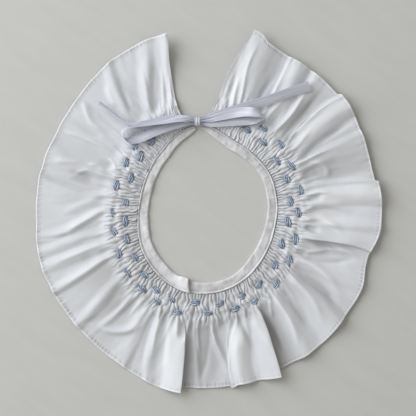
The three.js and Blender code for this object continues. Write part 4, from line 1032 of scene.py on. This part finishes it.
def makeBars(material):
    master = makeBarMaster()
    for ring, bars in (("inner", innerBars), ("outer", outerBars)):
        for number, (angle, out, length, turn) in enumerate(bars):
            node = f"stitch_{ring}_{number + 1:02d}"
            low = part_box(node)[0]
            bar = bpy.data.objects.new(f"floss_{ring}_{number + 1:02d}", master.data.copy())
            bpy.context.collection.objects.link(bar)
            radius = float(bandEdge(angle)) + seamGap + out
            x, y = polar(angle, radius) + neckCentre
            luck = scatter(number + 50 * (ring == "outer"), 31) - 0.5
            place = Matrix.Translation(Vector((x * mm, y * mm, low[2] + floss["sink"] * mm)))
            heading = Matrix.Rotation((angle + 90 + turn + floss["luckyTurn"] * luck) * degree, 4, "Z")
            flip = Matrix.Rotation(math.pi * (number % 2), 4, "Z")
            size = Matrix.Diagonal((length / floss["length"], 1 + floss["luckySize"] * luck, 1, 1))
            bar.data.transform(place @ heading @ flip @ size)
            finishPiece(bar, material, node, floss["crease"])
    bpy.data.objects.remove(master)
    print("floss bars made:", len(innerBars) + len(outerBars))


# Cotton sateen, mercerised: a close, smooth weave that is bright on its crests and softly grey in shade.
def cottonSateen():
    material, shader = newMaterial("cottonSateen", {
        "Roughness": 0.6, "IOR": 1.5, "Specular IOR Level": 0.3,
        "Sheen Weight": 0.08, "Sheen Roughness": 0.5})
    place, solid = clothPlace(material), solidPlace(material)
    # the hem's stitches, 2.6 mm apart, pull small puckers across it, tighter in some places; their shade is
    # painted on as grey ticks, as well as bumped
    waves = {"Scale": 100, "Distortion": 4.5, "Detail": 3}
    ticks = addNode(material, "ShaderNodeTexWave", waves, {"Vector": place}).outputs["Fac"]
    taut = maths(material, "POWER", noiseAt(material, solid, 35, 1), 4)
    pulled = maths(material, "MULTIPLY", taut, attributeOf(material, "hemmed"))
    puckers = maths(material, "MULTIPLY", ticks, pulled)
    puckerShaded = maths(material, "MULTIPLY_ADD", puckers, -1.2, attributeOf(material, "paintedShading"))
    shaded = maths(material, "MULTIPLY_ADD", noiseAt(material, solid, 45, 3), 0.12, puckerShaded)
    # the painted light and shade, with a little cloudiness, run from warm grey deep in the grooves through
    # cool white on the open cloth to bright on the rims
    colour = toned(material, shaded, (0.06, "#888684"), (0.56, "#D5D8DD"), (1, "#F6F7F9"))
    # the threads are 0.2 mm thick, drawn at 0.5 mm so that they show at all, and thicker here and there
    weave = woven(material, place, 2000, 600)
    crumpled = maths(material, "MULTIPLY_ADD", noiseAt(material, solid, 150, 4, 0.6), 3.5, weave)
    relief = maths(material, "MULTIPLY_ADD", puckers, -30, crumpled)
    return finished(material, shader, colour, relief, 0.3, 0.0001)


# Bias-cut cotton lawn, pressed flat: matt, a little warmer, with its threads running slantwise.
def biasCotton():
    material, shader = newMaterial("biasCotton", {
        "Roughness": 0.78, "IOR": 1.5, "Specular IOR Level": 0.25,
        "Sheen Weight": 0.15, "Sheen Roughness": 0.6})
    cloudy = noiseAt(material, solidPlace(material), 90, 4, 0.55)
    # painted light on the lapped end, which stands in the light, and painted shade on the band beside it
    shaded = maths(material, "ADD", cloudy, attributeOf(material, "paintedShading"))
    colour = toned(material, shaded, (0, "#9A9692"), (0.3, "#C3C3C6"), (0.7, "#E3E4E7"), (1, "#FAFAFB"))
    # the threads are 0.25 mm thick, drawn at 0.6 mm so that they show at all
    slanted = scaled(material, clothPlace(material), (1, 1, 1), math.pi / 4)
    relief = maths(material, "MULTIPLY_ADD", cloudy, 2, woven(material, slanted, 1600, 150))
    return finished(material, shader, colour, relief, 0.4, 0.00015)


# Polyester satin ribbon, woven with long floats: it takes a long soft gleam and shows faint lengthwise lines.
def satinRibbon():
    material, shader = newMaterial("satinRibbon", {
        "Roughness": 0.32, "IOR": 1.55, "Specular IOR Level": 0.55,
        "Sheen Weight": 0.15, "Sheen Roughness": 0.35})
    # the floats are 0.15 mm wide, drawn at 1.5 mm so that they show at all
    floats = noiseAt(material, scaled(material, clothPlace(material), (25, 650, 1)), 1, 3, 0.55)
    colour = toned(material, floats, (0.3, "#B2B5C4"), (0.7, "#D2D5DF"))
    return finished(material, shader, colour, floats, 0.25, 0.00008)


# Stranded embroidery cotton, twisted: light on its plies, with painted shade towards slate blue in the
# grooves between them.
def strandedFloss():
    material, shader = newMaterial("strandedFloss", {
        "Roughness": 0.5, "IOR": 1.5, "Specular IOR Level": 0.35,
        "Sheen Weight": 0.25, "Sheen Roughness": 0.4})
    solid, groove = solidPlace(material), attributeOf(material, "groove")
    # the groove value is painted shade, which darkens the floss towards slate blue
    depth = maths(material, "MULTIPLY_ADD", noiseAt(material, solid, 420, 2), 0.6, groove)
    colour = toned(material, depth, (0.28, "#CAD4DF"), (0.62, "#A0B0C3"), (1, "#64748A"))
    # fibres of 0.02 mm, drawn in tufts of 0.4 mm
    return finished(material, shader, colour, noiseAt(material, solid, 2500, 2), 0.4, 0.0001)


makeSetting()
satin = satinRibbon()
makeTails(satin)
makeLoops(satin)
makeKnot(satin)
makeNeckband(biasCotton())
makeRuffle(cottonSateen())
makeBars(strandedFloss())
